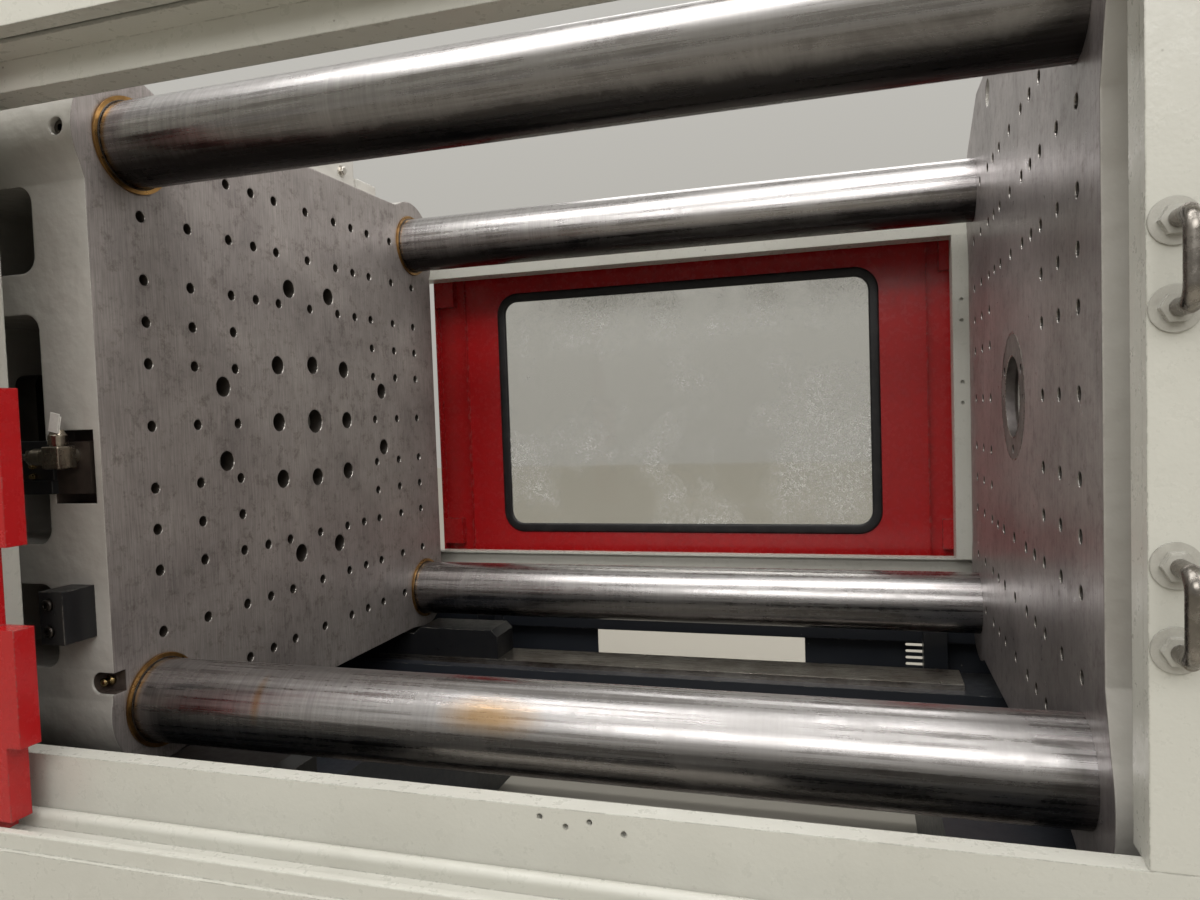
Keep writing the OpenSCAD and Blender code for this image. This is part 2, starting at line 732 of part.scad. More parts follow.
module electrical_cabinet() {
    color("#c9c8c0") at_axis() difference() {
        union() {
            block(cab_x0, cab_x1, cab_y0, cover_half, deck_z, cab_top);
            for (z = door_hinges) {
                block(cab_x0 - 14, cab_x0 + 1, cover_half - 14, cover_half + 8, z - 22, z - fit);
                translate([cab_x0 - 6, cover_half + 8, z - 22]) cylinder(h = 22 - fit, r = 7.5, $fn = 32);
                translate([cab_x0 - 6, cover_half + 8, z - 1]) cylinder(h = 88, r = 4, $fn = 24);
            }
        }
        block(cab_x0 + 4, cab_x1 - 4, cab_y0 + 4, cover_half + eps, deck_z + 60, cab_top - 40);
        for (z = [-200 : 44 : 0], x = [cab_x0 - eps, cab_x1 - 5])
            translate([x, (cab_y0 + cover_half) / 2 - 100, z]) cube([6, 200, 16]);
    }
}

module moving_platen() {
    holes = [for (e = eject_spots) e * 25.4];
    color("#c9c8c0") at_axis() difference() {
        union() {
            along_x(moving_x1, moving_x0) platen_outline();
            platen_feet(moving_x1 + 40, moving_x0 - 40, -platen_foot);
            // Bracket plate and box on its top edge
            block(moving_x0 - 42, moving_x0 - 22, 60, 322, edge_half - 1, edge_half + 160);
            block(moving_x0 - 130, moving_x0 - 41, 60, 80, edge_half - 1, edge_half + 90);
            block(moving_x0 - 90, moving_x0 - 30, 352, 476, edge_half - 1, edge_half + 48);
        }
        bar_x(moving_x0 - 43, moving_x0 - 21, 11, 246, edge_half + 46, $fn = 24);
        tie_bar_bores(moving_x1 - eps, moving_x0 - bush_len, bar_r + 2);
        tie_bar_bores(moving_x0 - bush_len - eps, moving_x0 + eps, bush_r + 0.1);
        tapped_holes(moving_x0, -1);
        // Through space for the ejector plate, seen from both sides
        along_y(-reach - eps, reach + eps) translate([(cavity_x0 + cavity_x1) / 2, 0])
            rounded(cavity_x0 - cavity_x1, 2 * cavity_half_z, 40);
        block(cavity_x1, cavity_x0, -cavity_half_y, cavity_half_y, -cavity_high, cavity_high);
        // Blind side pockets above and below it
        for (s = [0, 1]) mirror([0, s, 0]) for (t = [0, 1]) mirror([0, 0, t])
            along_y(430, reach + eps) translate([(cavity_x0 + cavity_x1) / 2, 464])
                rounded(cavity_x0 - cavity_x1, 200, 40);
        // Pockets from the top and the bottom
        for (s = [0, 1], t = [0, 1]) mirror([0, s, 0]) mirror([0, 0, t])
            translate([(cavity_x0 + cavity_x1) / 2, 300, 620])
                linear_extrude(300) rounded(cavity_x0 - cavity_x1, 330, 40);
        for (h = holes, sy = h[0] == 0 ? [1] : [-1, 1], sz = h[1] == 0 ? [1] : [-1, 1])
            bar_x(cavity_x0 - eps, moving_x0 + eps, eject_hole_d / 2, sy * h[0], sz * h[1], $fn = 32);
        bar_x(cavity_x0 - eps, moving_x0 + eps, centre_hole_r);
        for (s = [-1, 1]) bar_x(moving_x1 - eps, cavity_x1 + eps, eject_rod_r + 2, s * eject_cyl_y);
        // Notch for the connector block, and the two grease ports on the operator side
        block(moving_x0 - 140, moving_x0 - 20, -reach - eps, -side_half + 57, -173, -3);
        bar_y(-reach - eps, -reach + 26, 20, moving_x0 - 43, bar_half + 3, $fn = 32);
        along_y(-reach - eps, -reach + 61) {
            translate([moving_x0 - 38, port_z]) circle(25, $fn = 32);
            translate([moving_x0 - 38, port_z - 25]) square([40, 50]);
        }
    }
}

module bar_bushings() {
    color("#a07a3a") at_axis() for (b = bar_spots) difference() {
        bar_x(moving_x0 - bush_len, moving_x0 + bush_proud, bush_r, b[0], b[1]);
        bar_x(moving_x0 - bush_len - eps, moving_x0 + bush_proud + eps, bar_r + fit, b[0], b[1]);
    }
}

module clamp_ram() {
    color("#c4c4c4") at_axis() difference() {
        bar_x(ram_end, moving_x1, ram_r, $fn = 96);
        bar_x(ram_end - eps, moving_x1 - 300, ram_r - 140);
    }
}

module platen_shoes() {
    z0 = strip_top + fit;
    color("#1b1b1d") at_axis() both_sides() {
        block(moving_x1 + 10, moving_x0 + 2, way_y - shoe_w / 2, way_y + shoe_w / 2, z0, -platen_foot);
        along_y(way_y - shoe_w / 2, way_y + shoe_w / 2) polygon([[moving_x0 + 1, z0],
            [moving_x0 + shoe_nose, z0], [moving_x0 + shoe_nose, z0 + 84],
            [moving_x0 + shoe_nose - 24, z0 + 108],
            [moving_x0 + 30, z0 + 108], [moving_x0 + 2, -platen_foot], [moving_x0 + 1, -platen_foot]]);
    }
}

module stop_block() {
    y0 = -side_half - 85;
    color("#1b1b1d") at_axis() difference() {
        block(moving_x0 - 110, moving_x0 - 43, y0, -side_half, -482, -362);
        for (z = [-392, -452]) {
            bar_y(y0 - eps, y0 + 22, 15, moving_x0 - 84, z, $fn = 32);
            bar_y(y0 + 14, -side_half + eps, 9, moving_x0 - 84, z, $fn = 32);
        }
    }
}

module connector_block() {
    y0 = 17 - side_half;
    x = moving_x0 - 80;
    color("#3b3b3d") at_axis() union() {
        block(x - 50, x + 50, y0 - 20, y0 + 40, -150, -30);
        bar_y(y0 - 74, y0 - 19, 21, x, -62);
        bar_x(x - 70, x, 19, y0 - 56, -62);
        bar_x(x - 84, x - 68, 13, y0 - 56, -62);
        block(moving_x1 + 20, moving_x1 + 90, y0 - 40, -side_half, -100, -40);
        bar_x(moving_x1 + 88, moving_x1 + 112, 13, y0 - 32, -70);
    }
}

// The cable's route past the operator side of the moving platen, from the connector to its gland
cable_r = 8;
cable_route = [[-2194, -851, -62], [-2215, -851, -62], [-2240, -852, -65], [-2275, -856, -74],
    [-2320, -858, -86], [-2370, -856, -96], [-2420, -850, -100], [-2460, -840, -93],
    [-2495, -831, -78], [-2518, -827, -70], [-2538, -827, -70]];

// A tube with flat sides, swept along a list of points
module swept_tube(pts, r, sides = 8) {
    n = len(pts);
    tangents = [for (i = [0 : n - 1]) let (d = pts[min(i + 1, n - 1)] - pts[max(i - 1, 0)]) d / norm(d)];
    ring_pts = [for (i = [0 : n - 1]) let (t = tangents[i], u0 = cross(t, [0, 0, 1]), u = u0 / norm(u0),
        v = cross(u, t)) for (k = [0 : sides - 1]) let (a = 360 * k / sides)
        pts[i] + r * (cos(a) * u + sin(a) * v)];
    side_faces = [for (i = [0 : n - 2], k = [0 : sides - 1])
        let (a = i * sides + k, b = i * sides + (k + 1) % sides) [a, b, b + sides, a + sides]];
    polyhedron(ring_pts, concat(side_faces, [[for (k = [sides - 1 : -1 : 0]) k]],
        [[for (k = [0 : sides - 1]) (n - 1) * sides + k]]));
}

module sensor_cable() {
    shift = [moving_x0 + 2030, side_half - 812, 0];
    color("#151515") at_axis() swept_tube([for (p = cable_route) p + [shift[0], -shift[1], 0]], cable_r);
}

module ejector_cylinders() {
    color("#c9c8c0") at_axis() for (s = [-1, 1]) difference() {
        union() {
            bar_x(moving_x1 - eject_cyl_len, moving_x1, eject_cyl_r, s * eject_cyl_y);
            along_x(moving_x1 - 24, moving_x1) translate([s * eject_cyl_y, 0]) rounded(150, 150, 20);
        }
        bar_x(moving_x1 - eject_cyl_len + 20, moving_x1 + eps, eject_rod_r + fit, s * eject_cyl_y);
    }
}

module ejector_plate() {
    color("#77757a") at_axis() difference() {
        along_x(eject_x1, eject_x0) {
            rounded(1200, 300, 30);
            rounded(300, 940, 30);
            rounded(440, 440, 30);
        }
        bar_x(eject_x1 - eps, eject_x0 + eps, 30);
    }
}

module ejector_rods() {
    color("#c4c4c4") at_axis() {
        for (k = knock_spots, sy = [-1, 1], sz = [-1, 1])
            bar_x(eject_x0, moving_x0 - 60, eject_rod_d / 2, sy * k[0] * 25.4, sz * k[1] * 25.4, $fn = 32);
        for (s = [-1, 1]) bar_x(moving_x1 - eject_cyl_len + 30, eject_x1, eject_rod_r, s * eject_cyl_y);
    }
}

// The outline of a gate window, grown or shrunk all round
module window_outline(grow) {
    translate([window_x, window_z]) rounded(window_w + 2 * grow, window_h + 2 * grow, window_r + grow);
}

// A gate's folded sheet panel: skin, folded edges, corner blocks, feet and top guides
module gate_panel(z1) {
    guide = (gate_y0 + gate_y1) / 2;
    difference() {
        union() {
            difference() {
                block(gate_x0, gate_x1, gate_y0, gate_y1, gate_z0, z1);
                block(gate_x0 + skin_t, gate_x1 - skin_t, gate_y0 - eps, gate_y1 - skin_t,
                    gate_z0 + skin_t, z1 - skin_t);
            }
            for (x = [gate_x0 + skin_t, gate_x1 - skin_t - 84], z = [-560, 480])
                block(x, x + 84, gate_y0 + 2, gate_y1 - skin_t + 1, z, z + 110);
            for (x = [gate_x0 + 130, gate_x1 - 134])
                block(x, x + 4, gate_y1 - 22, gate_y1 - skin_t + 1, gate_z0 + 2, z1 - 2);
            for (x = [gate_x0 + 120, gate_x1 - 320]) {
                block(x, x + 200, guide - guide_w / 2, guide + guide_w / 2, z1 - 1, z1 + 13);
                block(x, x + 200, guide - 16, guide + 16, gutter_z + fit, gate_z0 + 1);
            }
        }
        along_y(gate_y0, gate_y1 + eps) window_outline(0);
    }
}

module gate_gasket() {
    difference() {
        union() {
            along_y(gate_y1 - skin_t - 7, gate_y1 - skin_t) window_outline(gasket_lip);
            along_y(gate_y1 - skin_t - 1, gate_y1 + 1) window_outline(-0.1);
            along_y(gate_y1, gate_y1 + 7) window_outline(gasket_lip);
        }
        along_y(gate_y1 - 20, gate_y1 + 20) window_outline(-gasket_in);
        along_y(gate_y1 - skin_t - 1, gate_y1 + 1) window_outline(-gasket_in + 10);
    }
}

module gate_pane() {
    along_y(gate_y1 - skin_t - 0.8, gate_y1 + 0.8) window_outline(-gasket_in + 9.8);
}

module gate_handle(x) {
    bow_handle(x, gate_y1, -220, 180, 14, 66);
    for (z = [-220, 180]) bar_y(gate_y1, gate_y1 + 5, 28, x, z);
}

module open_front() at_axis() translate([-gate_travel, 0, 0]) mirror([0, 1, 0]) children();

module front_gate_panel() color("#a3141c") open_front() {
    gate_panel(gate_z1);
    block(gate_x1 - 1, gate_x1 + 70, gate_y0, gate_y1, -227, 83);
    block(gate_x1 - 1, gate_x1 + 74, gate_y0, gate_y1, -625, -390);
    block(gate_x1 - 1, gate_x1 + 38, gate_y0, gate_y1, -775, -624);
}

module front_gate_gasket() color("#17181a") open_front() gate_gasket();

module front_gate_window() color("#d7dcdc") open_front() gate_pane();

module front_gate_handle() color("#c9c8c0") open_front() gate_handle(gate_x1 - 60);

module rear_gate_panel() color("#a3141c") at_axis() gate_panel(rear_gate_z1);

module rear_gate_gasket() color("#17181a") at_axis() gate_gasket();

module rear_gate_window() color("#d7dcdc") at_axis() gate_pane();

module rear_gate_handle() color("#c9c8c0") at_axis() gate_handle(gate_x1 - 60);

module injection_sled() {
    color("#c9c8c0") at_axis() union() {
        block(sled_x0, sled_x1, -sled_half, sled_half, sled_bottom + 20, sled_top);
        for (x = [sled_x0 + 60, (sled_x0 + sled_x1) / 2 - 110, sled_x1 - 280])
            both_sides() difference() {
                block(x, x + 220, rail_y - 85, rail_y + 85, deck_z + 8, sled_bottom + 21);
                along_x(x - eps, x + 220 + eps) translate([rail_y, deck_z]) rail_section(fit);
            }
        // Steady that carries the front of the barrel
        difference() {
            block(sled_x0 + 60, sled_x0 + 150, -190, 190, sled_top - 1, 0);
            bar_x(sled_x0, sled_x0 + 200, barrel_r + fit);
        }
        // Saddles for the pull in cylinders
        for (x = [1100, 1800]) both_sides() difference() {
            block(x, x + 60, pull_y - 80, pull_y + 80, sled_top - 1, pull_z);
            bar_x(x - eps, x + 61, pull_r + fit, pull_y, pull_z);
        }
    }
}

module injection_barrel() {
    color("#6f6b68") at_axis() difference() {
        union() {
            bar_x(cap_x - 1, barrel_x1, barrel_r);
            bar_x(cap_x - 90, cap_x, barrel_r + 12);
            translate([cap_x - 220, 0, 0]) rotate([0, 90, 0]) cylinder(h = 131, r1 = 62, r2 = 110);
            bar_x(nozzle_x + 120, cap_x - 219, 46);
            bar_x(nozzle_x + 150, nozzle_x + 200, 58, $fn = 6);
            translate([nozzle_x, 0, 0]) rotate([0, 90, 0]) cylinder(h = 121, r1 = 22, r2 = 46);
        }
        bar_x(cap_x - 60, barrel_x1 + eps, screw_bore_r);
        translate([cap_x - 140, 0, 0]) rotate([0, 90, 0]) cylinder(h = 81, r1 = 8, r2 = screw_bore_r);
        bar_x(nozzle_x - eps, cap_x - 139, 8, $fn = 24);
        translate([throat_x, 0, 0]) cylinder(h = barrel_r + 10, r = 60);
    }
}

module heater_bands() {
    color("#b9b6ae") at_axis() for (i = [0 : 5]) {
        x = band_x0 + i * band_pitch;
        w = band_pitch - 55;
        difference() {
            union() {
                bar_x(x, x + w, barrel_r + 14);
                block(x + 60, x + 140, -40, 40, barrel_r + 10, barrel_r + 44);
            }
            bar_x(x - eps, x + w + eps, barrel_r + 0.2);
        }
    }
}

module feed_housing() {
    color("#c9c8c0") at_axis() difference() {
        union() {
            block(barrel_x1 - 260, housing_x1, -230, 230, -230, housing_top);
            block(housing_x1 - 120, housing_x1, -housing_half, housing_half, -180, 180);
            block(barrel_x1 - 240, housing_x1 - 20, -200, 200, sled_top, -229);
            block(barrel_x1 - 250, housing_x1 - 10, -300, 300, sled_top, sled_top + 40);
            translate([throat_x, 0, housing_top - 1]) rounded_plate(320, 60);
        }
        bar_x(barrel_x1 - 261, barrel_x1, barrel_r + 0.1);
        bar_x(barrel_x1 - eps, housing_x1 + eps, screw_bore_r);
        translate([throat_x, 0, 0]) cylinder(h = 400, r = 60);
    }
}

module rounded_plate(w, h) linear_extrude(h + 1) rounded(w, w, 30);

// A square tube that tapers, from half width a at z0 to half width b at z1
module taper(a, b, z0, z1) {
    translate([0, 0, z0]) rotate([0, 0, 45])
        cylinder(h = z1 - z0, r1 = a * sqrt(2), r2 = b * sqrt(2), $fn = 4);
}

module hopper() {
    h = hopper_w / 2;
    rim = h + 18;
    wall = 5;
    color("#d6d6d2") at_axis() translate([throat_x, 0, hopper_z]) difference() {
        union() {
            rounded_plate(300, 20);
            taper(85, h, 20, 20 + cone_h);
            translate([-h, -h, 20 + cone_h - 0.1]) cube([2 * h, 2 * h, hopper_h]);
            translate([-rim, -rim, 20 + cone_h + hopper_h - 20]) cube([2 * rim, 2 * rim, 20]);
            for (x = [-220, -10, 200]) block(x, x + 20, rim - 1, rim + 26, lid_z - 14, lid_z + 15);
            bar_x(-219, 219, lid_pin_r, rim + 17, lid_z + 6, $fn = 24);
        }
        translate([0, 0, -eps]) cylinder(h = 40, r = 60);
        taper(85 - wall, h - wall, 19.5, 20.5 + cone_h);
        translate([-h + wall, -h + wall, 20 + cone_h])
            cube([2 * h - 2 * wall, 2 * h - 2 * wall, hopper_h + 1]);
    }
}

module hopper_lid() {
    rim = hopper_w / 2 + 18;
    h = rim + 4;
    z = lid_z + fit;
    pin_y = rim + 17;
    color("#d6d6d2") at_axis() translate([throat_x, 0, hopper_z]) difference() {
        union() {
            translate([-h, -h, z]) cube([2 * h, h + rim - 6, 6]);
            difference() {
                translate([-h, -h, z - 30]) cube([2 * h, 2 * h - 60, 31]);
                translate([-h + 3, -h + 3, z - 31]) cube([2 * h - 6, 2 * h, 31]);
            }
            translate([0, -h + 60, z + 5]) bow_on_top();
            for (x = [-190, 30]) {
                bar_x(x, x + 160, lid_pin_r + 4, pin_y, lid_z + 6, $fn = 32);
                block(x, x + 160, rim - 8, pin_y, z, z + 6);
            }
        }
        bar_x(-200, 200, lid_pin_r + fit, pin_y, lid_z + 6, $fn = 24);
    }
}

// A small bow handle lying along X on a flat top
module bow_on_top() {
    for (s = [-1, 1]) translate([s * 60, 0, 0]) cylinder(h = 34, r = 6, $fn = 24);
    translate([-66, 0, 34]) rotate([0, 90, 0]) cylinder(h = 132, r = 6, $fn = 24);
}

module carriage_cylinders() {
    color("#c9c8c0") at_axis() both_sides() {
        difference() {
            union() {
                bar_x(housing_x1, housing_x1 + 700, shot_cyl_d / 2, shot_cyl_y);
                along_x(housing_x1, housing_x1 + 40) translate([shot_cyl_y, 0]) rounded(230, 230, 30);
                along_x(housing_x1 + 650, housing_x1 + 700) translate([shot_cyl_y, 0]) rounded(220, 220, 30);
            }
            bar_x(housing_x1 + 60, housing_x1 + 701, shot_rod_r + fit, shot_cyl_y);
        }
        difference() {
            bar_x(1000, 1950, pull_r, pull_y, pull_z);
            bar_x(999, 1930, pull_rod_r + fit, pull_y, pull_z);
        }
    }
}

module barrel_guard() {
    x0 = sled_x0 + 160;
    x1 = barrel_x1 - 270;
    h = guard_half;
    t = guard_top;
    color("#c9c8c0") at_axis() difference() {
        along_x(x0, x1) polygon([[-h, sled_top], [-h, t - 60], [-h + 60, t], [h - 60, t], [h, t - 60],
            [h, sled_top], [h - 4, sled_top], [h - 4, t - 62], [h - 62, t - 4], [-h + 62, t - 4],
            [-h + 4, t - 62], [-h + 4, sled_top]]);
        for (x = [x0 + 160 : 240 : x1 - 150], y = [-70, 70])
            translate([x, y, guard_top - 10]) linear_extrude(20) rounded(180, 24, 11.9);
        for (x = [x0 + 160 : 240 : x1 - 150], z = [-110, -40, 30])
            along_y(-guard_half - eps, guard_half + eps) translate([x, z]) rounded(180, 24, 11.9);
    }
}

module injection_crosshead() {
    color("#c9c8c0") at_axis() union() {
        difference() {
            union() {
                along_x(cross_x0, cross_x0 + cross_t) rounded(900, 340, 60);
                along_x(cross_x0 + 20, cross_x0 + 120) translate([0, (sled_top + 4 - 169) / 2])
                    square([300, -169 - sled_top - 4], center = true);
            }
            bar_x(cross_x0 - eps, cross_x0 + cross_t + eps, screw_r + 4);
        }
        both_sides() {
            bar_x(housing_x1 + 90, cross_x0 + 1, shot_rod_r, shot_cyl_y);
            bar_x(cross_x0 + cross_t - 1, cross_x0 + cross_t + 50, 75, shot_cyl_y, $fn = 6);
        }
    }
}

module screw_motor() {
    x0 = cross_x0 + cross_t;
    color("#2f6f9a") at_axis() union() {
        bar_x(x0, x0 + 60, motor_r + 10);
        bar_x(x0 + 59, x0 + 300, motor_r - 10);
        bar_x(x0 + 299, x0 + 340, motor_r);
        bar_x(x0 + 339, x0 + 520, motor_r - 50);
        along_x(x0 + 380, x0 + 480) translate([0, 150]) square([160, 120], center = true);
        for (a = [0 : 45 : 315])
            bar_x(x0 + 60, x0 + 84, 16, (motor_r - 10) * cos(a), (motor_r - 10) * sin(a), $fn = 6);
    }
}

// A flight wound round the screw: four corner points to each ring, rings along a helix
module flight(x0, len, root, tip, w, steps = 10) {
    turns = round(len / screw_d);
    n = turns * steps;
    pts = [for (i = [0 : n]) let (a = 360 * i / steps, x = x0 + len * i / n)
        for (c = [[root - 3, -w / 2], [tip, -w / 2 + 1], [tip, w / 2 - 1], [root - 3, w / 2]])
            [x + c[1], c[0] * cos(a), c[0] * sin(a)]];
    sides = [for (i = [0 : n - 1], k = [0 : 3]) let (a = 4 * i + k, b = 4 * i + (k + 1) % 4)
        for (f = [[a, b, b + 4], [a, b + 4, a + 4]]) f];
    polyhedron(pts, concat([[3, 2, 1, 0]], sides, [[4 * n, 4 * n + 1, 4 * n + 2, 4 * n + 3]]));
}

module screw() {
    x0 = cap_x - 40;
    flight_x0 = x0 + 150;
    flight_x1 = barrel_x1 + 260;
    color("#c4c4c4") at_axis() union() {
        translate([x0, 0, 0]) rotate([0, 90, 0]) cylinder(h = 70, r1 = 12, r2 = screw_root_r);
        bar_x(x0 + 69, flight_x1 + 1, screw_root_r);
        bar_x(x0 + 70, x0 + 110, screw_r);
        bar_x(flight_x1, cross_x0 + cross_t, screw_r);
        flight(flight_x0, flight_x1 - flight_x0 - 10, screw_root_r, screw_r, 13);
    }
}

module purge_guard() {
    h = purge_half;
    t = purge_top;
    z = purge_z;
    color("#a3141c") at_axis() difference() {
        union() {
            difference() {
                along_x(purge_x0, purge_x1) polygon([[-h, z], [-h, t - 70], [-h + 70, t], [h, t], [h, z],
                    [h - 4, z], [h - 4, t - 4], [-h + 72, t - 4], [-h + 4, t - 72], [-h + 4, z]]);
                along_y(-h - eps, -h + 10) translate([(purge_x0 + purge_x1) / 2, 60]) rounded(360, 240, 30);
            }
            for (x = [purge_x0 + 60, purge_x1 - 140]) {
                bar_x(x, x + 80, hinge_pin_r + 8, hinge_y, hinge_z);
                block(x, x + 80, h - 3, hinge_y, hinge_z - 5, hinge_z + 5);
            }
            translate([(purge_x0 + purge_x1) / 2, 0, 0]) mirror([0, 1, 0])
                bow_handle(0, h, z + 40, z + 160, 8, 50);
        }
        bar_x(purge_x0, purge_x1, hinge_pin_r + fit, hinge_y, hinge_z);
    }
}

module cabinet_door() {
    x0 = cab_x0 + 2;
    x1 = cab_x1 - 2;
    y = cover_half + fit;
    color("#c9c8c0") at_axis() difference() {
        union() {
            difference() {
                block(x0, x1, y, y + door_t, deck_z + 30, cab_top - 4);
                block(x0 + 3, x1 - 3, y - eps, y + door_t - 3, deck_z + 33, cab_top - 7);
            }
            for (z = door_hinges) {
                translate([cab_x0 - 6, cover_half + 8, z]) cylinder(h = 90, r = 7.5, $fn = 32);
                block(cab_x0 - 6, x0 + 1, y + 1, y + 8, z, z + 90);
            }
            bow_handle(x1 - 70, y + door_t, -160, 0, 9, 48);
        }
        for (z = door_hinges)
            translate([cab_x0 - 6, cover_half + 8, z - 1]) cylinder(h = 92, r = 4 + fit, $fn = 24);
    }
}

module control_panel() {
    y1 = panel_y0;
    y0 = y1 - panel_t;
    z1 = panel_z + panel_h;
    x0 = panel_x + 34;
    color("#3a3f49") at_axis() difference() {
        union() {
            along_x(x0, x0 + panel_w) polygon([[y1, panel_z], [y0 + 40, panel_z], [y0, panel_z + 60],
                [y0, z1 - 20], [y0 + 20, z1], [y1, z1]]);
            for (z = [panel_z + 80, z1 - 140]) {
                block(panel_x, x0 + 1, -cover_half - 64, -cover_half - 50, z + 28.3, z + 60);
                translate([panel_x, -cover_half - 57, z + 28.3]) cylinder(h = 31.7, r = 16, $fn = 32);
            }
        }
        for (z = [panel_z + 80, z1 - 140])
            translate([panel_x, -cover_half - 57, z + 28]) cylinder(h = 40, r = 8 + fit, $fn = 32);
        block(x0 + 40, x0 + panel_w - 40, y0 - eps, y0 + 6, panel_z + 200, z1 - 50);
        for (b = [90, 180, 380]) bar_y(y0 - eps, y0 + 42, 15.3, x0 + b, panel_z + 120, $fn = 32);
    }
}

// A push button with a stem in the control panel and a cap that stands off its face
module push_button(b, cap_r, cap_t) {
    y = panel_y0 - panel_t;
    at_axis() translate([panel_x + 34 + b, y, panel_z + 120]) rotate([90, 0, 0]) {
        translate([0, 0, -30]) cylinder(h = 38, r = 15, $fn = 32);
        translate([0, 0, 7.9]) cylinder(h = cap_t, r1 = cap_r, r2 = cap_r - 3);
    }
}

module emergency_stop() color("#c01818") push_button(380, 24, 16);

module start_button() color("#2b7a3d") push_button(90, 17, 8);

module stop_button() color("#22242a") push_button(180, 17, 8);

clamp_bed();
injection_bed();
way_strips();
levelling_mounts();
fixed_platen();
locating_ring();
clamp_platen();
tie_bars();
tie_bar_nuts();
clamp_cylinder();
prefill_tank();
front_sill();
rear_sill();
front_header();
rear_header();
gate_posts();
clamp_covers();
base_panels();
injection_covers();
grab_handles();
carriage_rails();
pull_in_rods();
oil_tank();
pump_motor();
electrical_cabinet();
moving_platen();
bar_bushings();
clamp_ram();
platen_shoes();
stop_block();
connector_block();
sensor_cable();
ejector_cylinders();
ejector_plate();
ejector_rods();
front_gate_panel();
front_gate_gasket();
front_gate_window();
front_gate_handle();
rear_gate_panel();
rear_gate_gasket();
rear_gate_window();
rear_gate_handle();
injection_sled();
injection_barrel();
heater_bands();
feed_housing();
hopper();
carriage_cylinders();
barrel_guard();
injection_crosshead();
screw_motor();
screw();
hopper_lid();
purge_guard();
cabinet_door();
control_panel();
emergency_stop();
start_button();
stop_button();
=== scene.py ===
import math

import bmesh
import bpy
from mathutils import Matrix, Vector


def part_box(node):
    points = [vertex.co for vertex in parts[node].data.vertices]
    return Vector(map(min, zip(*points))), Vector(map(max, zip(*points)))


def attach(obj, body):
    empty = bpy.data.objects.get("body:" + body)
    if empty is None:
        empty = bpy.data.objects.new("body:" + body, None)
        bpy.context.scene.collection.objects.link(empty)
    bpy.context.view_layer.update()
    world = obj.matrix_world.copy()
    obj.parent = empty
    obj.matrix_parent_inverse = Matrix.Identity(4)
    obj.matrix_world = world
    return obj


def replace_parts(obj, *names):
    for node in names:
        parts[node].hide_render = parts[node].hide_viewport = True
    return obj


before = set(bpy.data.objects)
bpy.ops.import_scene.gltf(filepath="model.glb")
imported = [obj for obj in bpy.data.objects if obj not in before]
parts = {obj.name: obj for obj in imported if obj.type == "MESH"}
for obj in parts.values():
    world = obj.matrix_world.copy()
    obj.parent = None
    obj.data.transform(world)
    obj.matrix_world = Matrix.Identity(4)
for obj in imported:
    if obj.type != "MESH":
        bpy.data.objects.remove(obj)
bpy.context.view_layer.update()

# The view into the open mould space from the operator's side, past the tie bars
# to the closed rear gate. The lens takes in about 70 degrees.
view = bpy.data.cameras.new("view")
view.sensor_width = 36
view.lens = 25.534
view.clip_end = 60
viewpoint = bpy.data.objects.new("viewpoint", view)
viewpoint.location = (-0.63128, -2.34630, 1.55429)
viewpoint.rotation_euler = [math.radians(a) for a in (87.5257, 1.9642, 16.6005)]
bpy.context.collection.objects.link(viewpoint)
bpy.context.scene.camera = viewpoint


# Floor: one plain pale slab, matt, so that nothing but the machine's shadow shows
# on it.
def linear(code):
    """An sRGB hex colour as linear red, green, blue and alpha."""
    channels = [int(code[i : i + 2], 16) / 255 for i in (1, 3, 5)]
    return [c / 12.92 if c <= 0.04045 else ((c + 0.055) / 1.055) ** 2.4 for c in channels] + [1.0]


def node(material, kind, sockets=(), **settings):
    """Adds a shader node, or takes one that is there, and sets or links its sockets."""
    made = material.node_tree.nodes.new("ShaderNode" + kind) if isinstance(kind, str) else kind
    for name, value in settings.items():
        setattr(made, name, value)
    for key, value in dict(sockets).items():
        if isinstance(value, bpy.types.NodeSocket):
            material.node_tree.links.new(value, made.inputs[key])
        else:
            made.inputs[key].default_value = value
    return made


def finish_named(name, **sockets):
    """A new material and its shader, with the values that are the same all over."""
    material = bpy.data.materials.new(name)
    material.use_nodes = True
    shader = material.node_tree.nodes["Principled BSDF"]
    node(material, shader, {key.replace("_", " "): value for key, value in sockets.items()})
    return material, shader


def mottled(name, scale, detail, first, second, low, high, grain=0.5, span=(0, 1), **sockets):
    """A finish that noise varies between two tones and two roughnesses."""
    material, shader = finish_named(name, **sockets)
    place = node(material, "TexCoord").outputs["Object"]
    fac = node(material, "TexNoise", {"Vector": place, "Scale": scale, "Detail": detail,
        "Roughness": grain}).outputs["Fac"]
    tone = node(material, "Mix", {0: fac, 6: first, 7: second}, data_type="RGBA")
    gloss = node(material, "MapRange", {"Value": fac, "From Min": span[0], "From Max": span[1],
        "To Min": low, "To Max": high})
    node(material, shader, {"Base Color": tone.outputs[2], "Roughness": gloss.outputs["Result"]})
    return material


def chipped(material, radius, patchy, start, full):
    """A rounded normal, and how far edges are chipped: there it leaves the flat normal."""
    rounded = node(material, "Bevel", {"Radius": radius}, samples=2).outputs["Normal"]
    flat = node(material, "NewGeometry").outputs["Normal"]
    turn = node(material, "VectorMath", {0: rounded, 1: flat}, operation="DOT_PRODUCT")
    edge = node(material, "MapRange", {"Value": turn.outputs["Value"], "From Min": 0.995,
        "From Max": 0.86})
    struck = node(material, "Math", {0: edge.outputs["Result"], 1: patchy}, operation="MULTIPLY")
    chip = node(material, "MapRange", {"Value": struck.outputs["Value"], "From Min": start,
        "From Max": full})
    return rounded, chip.outputs["Result"]


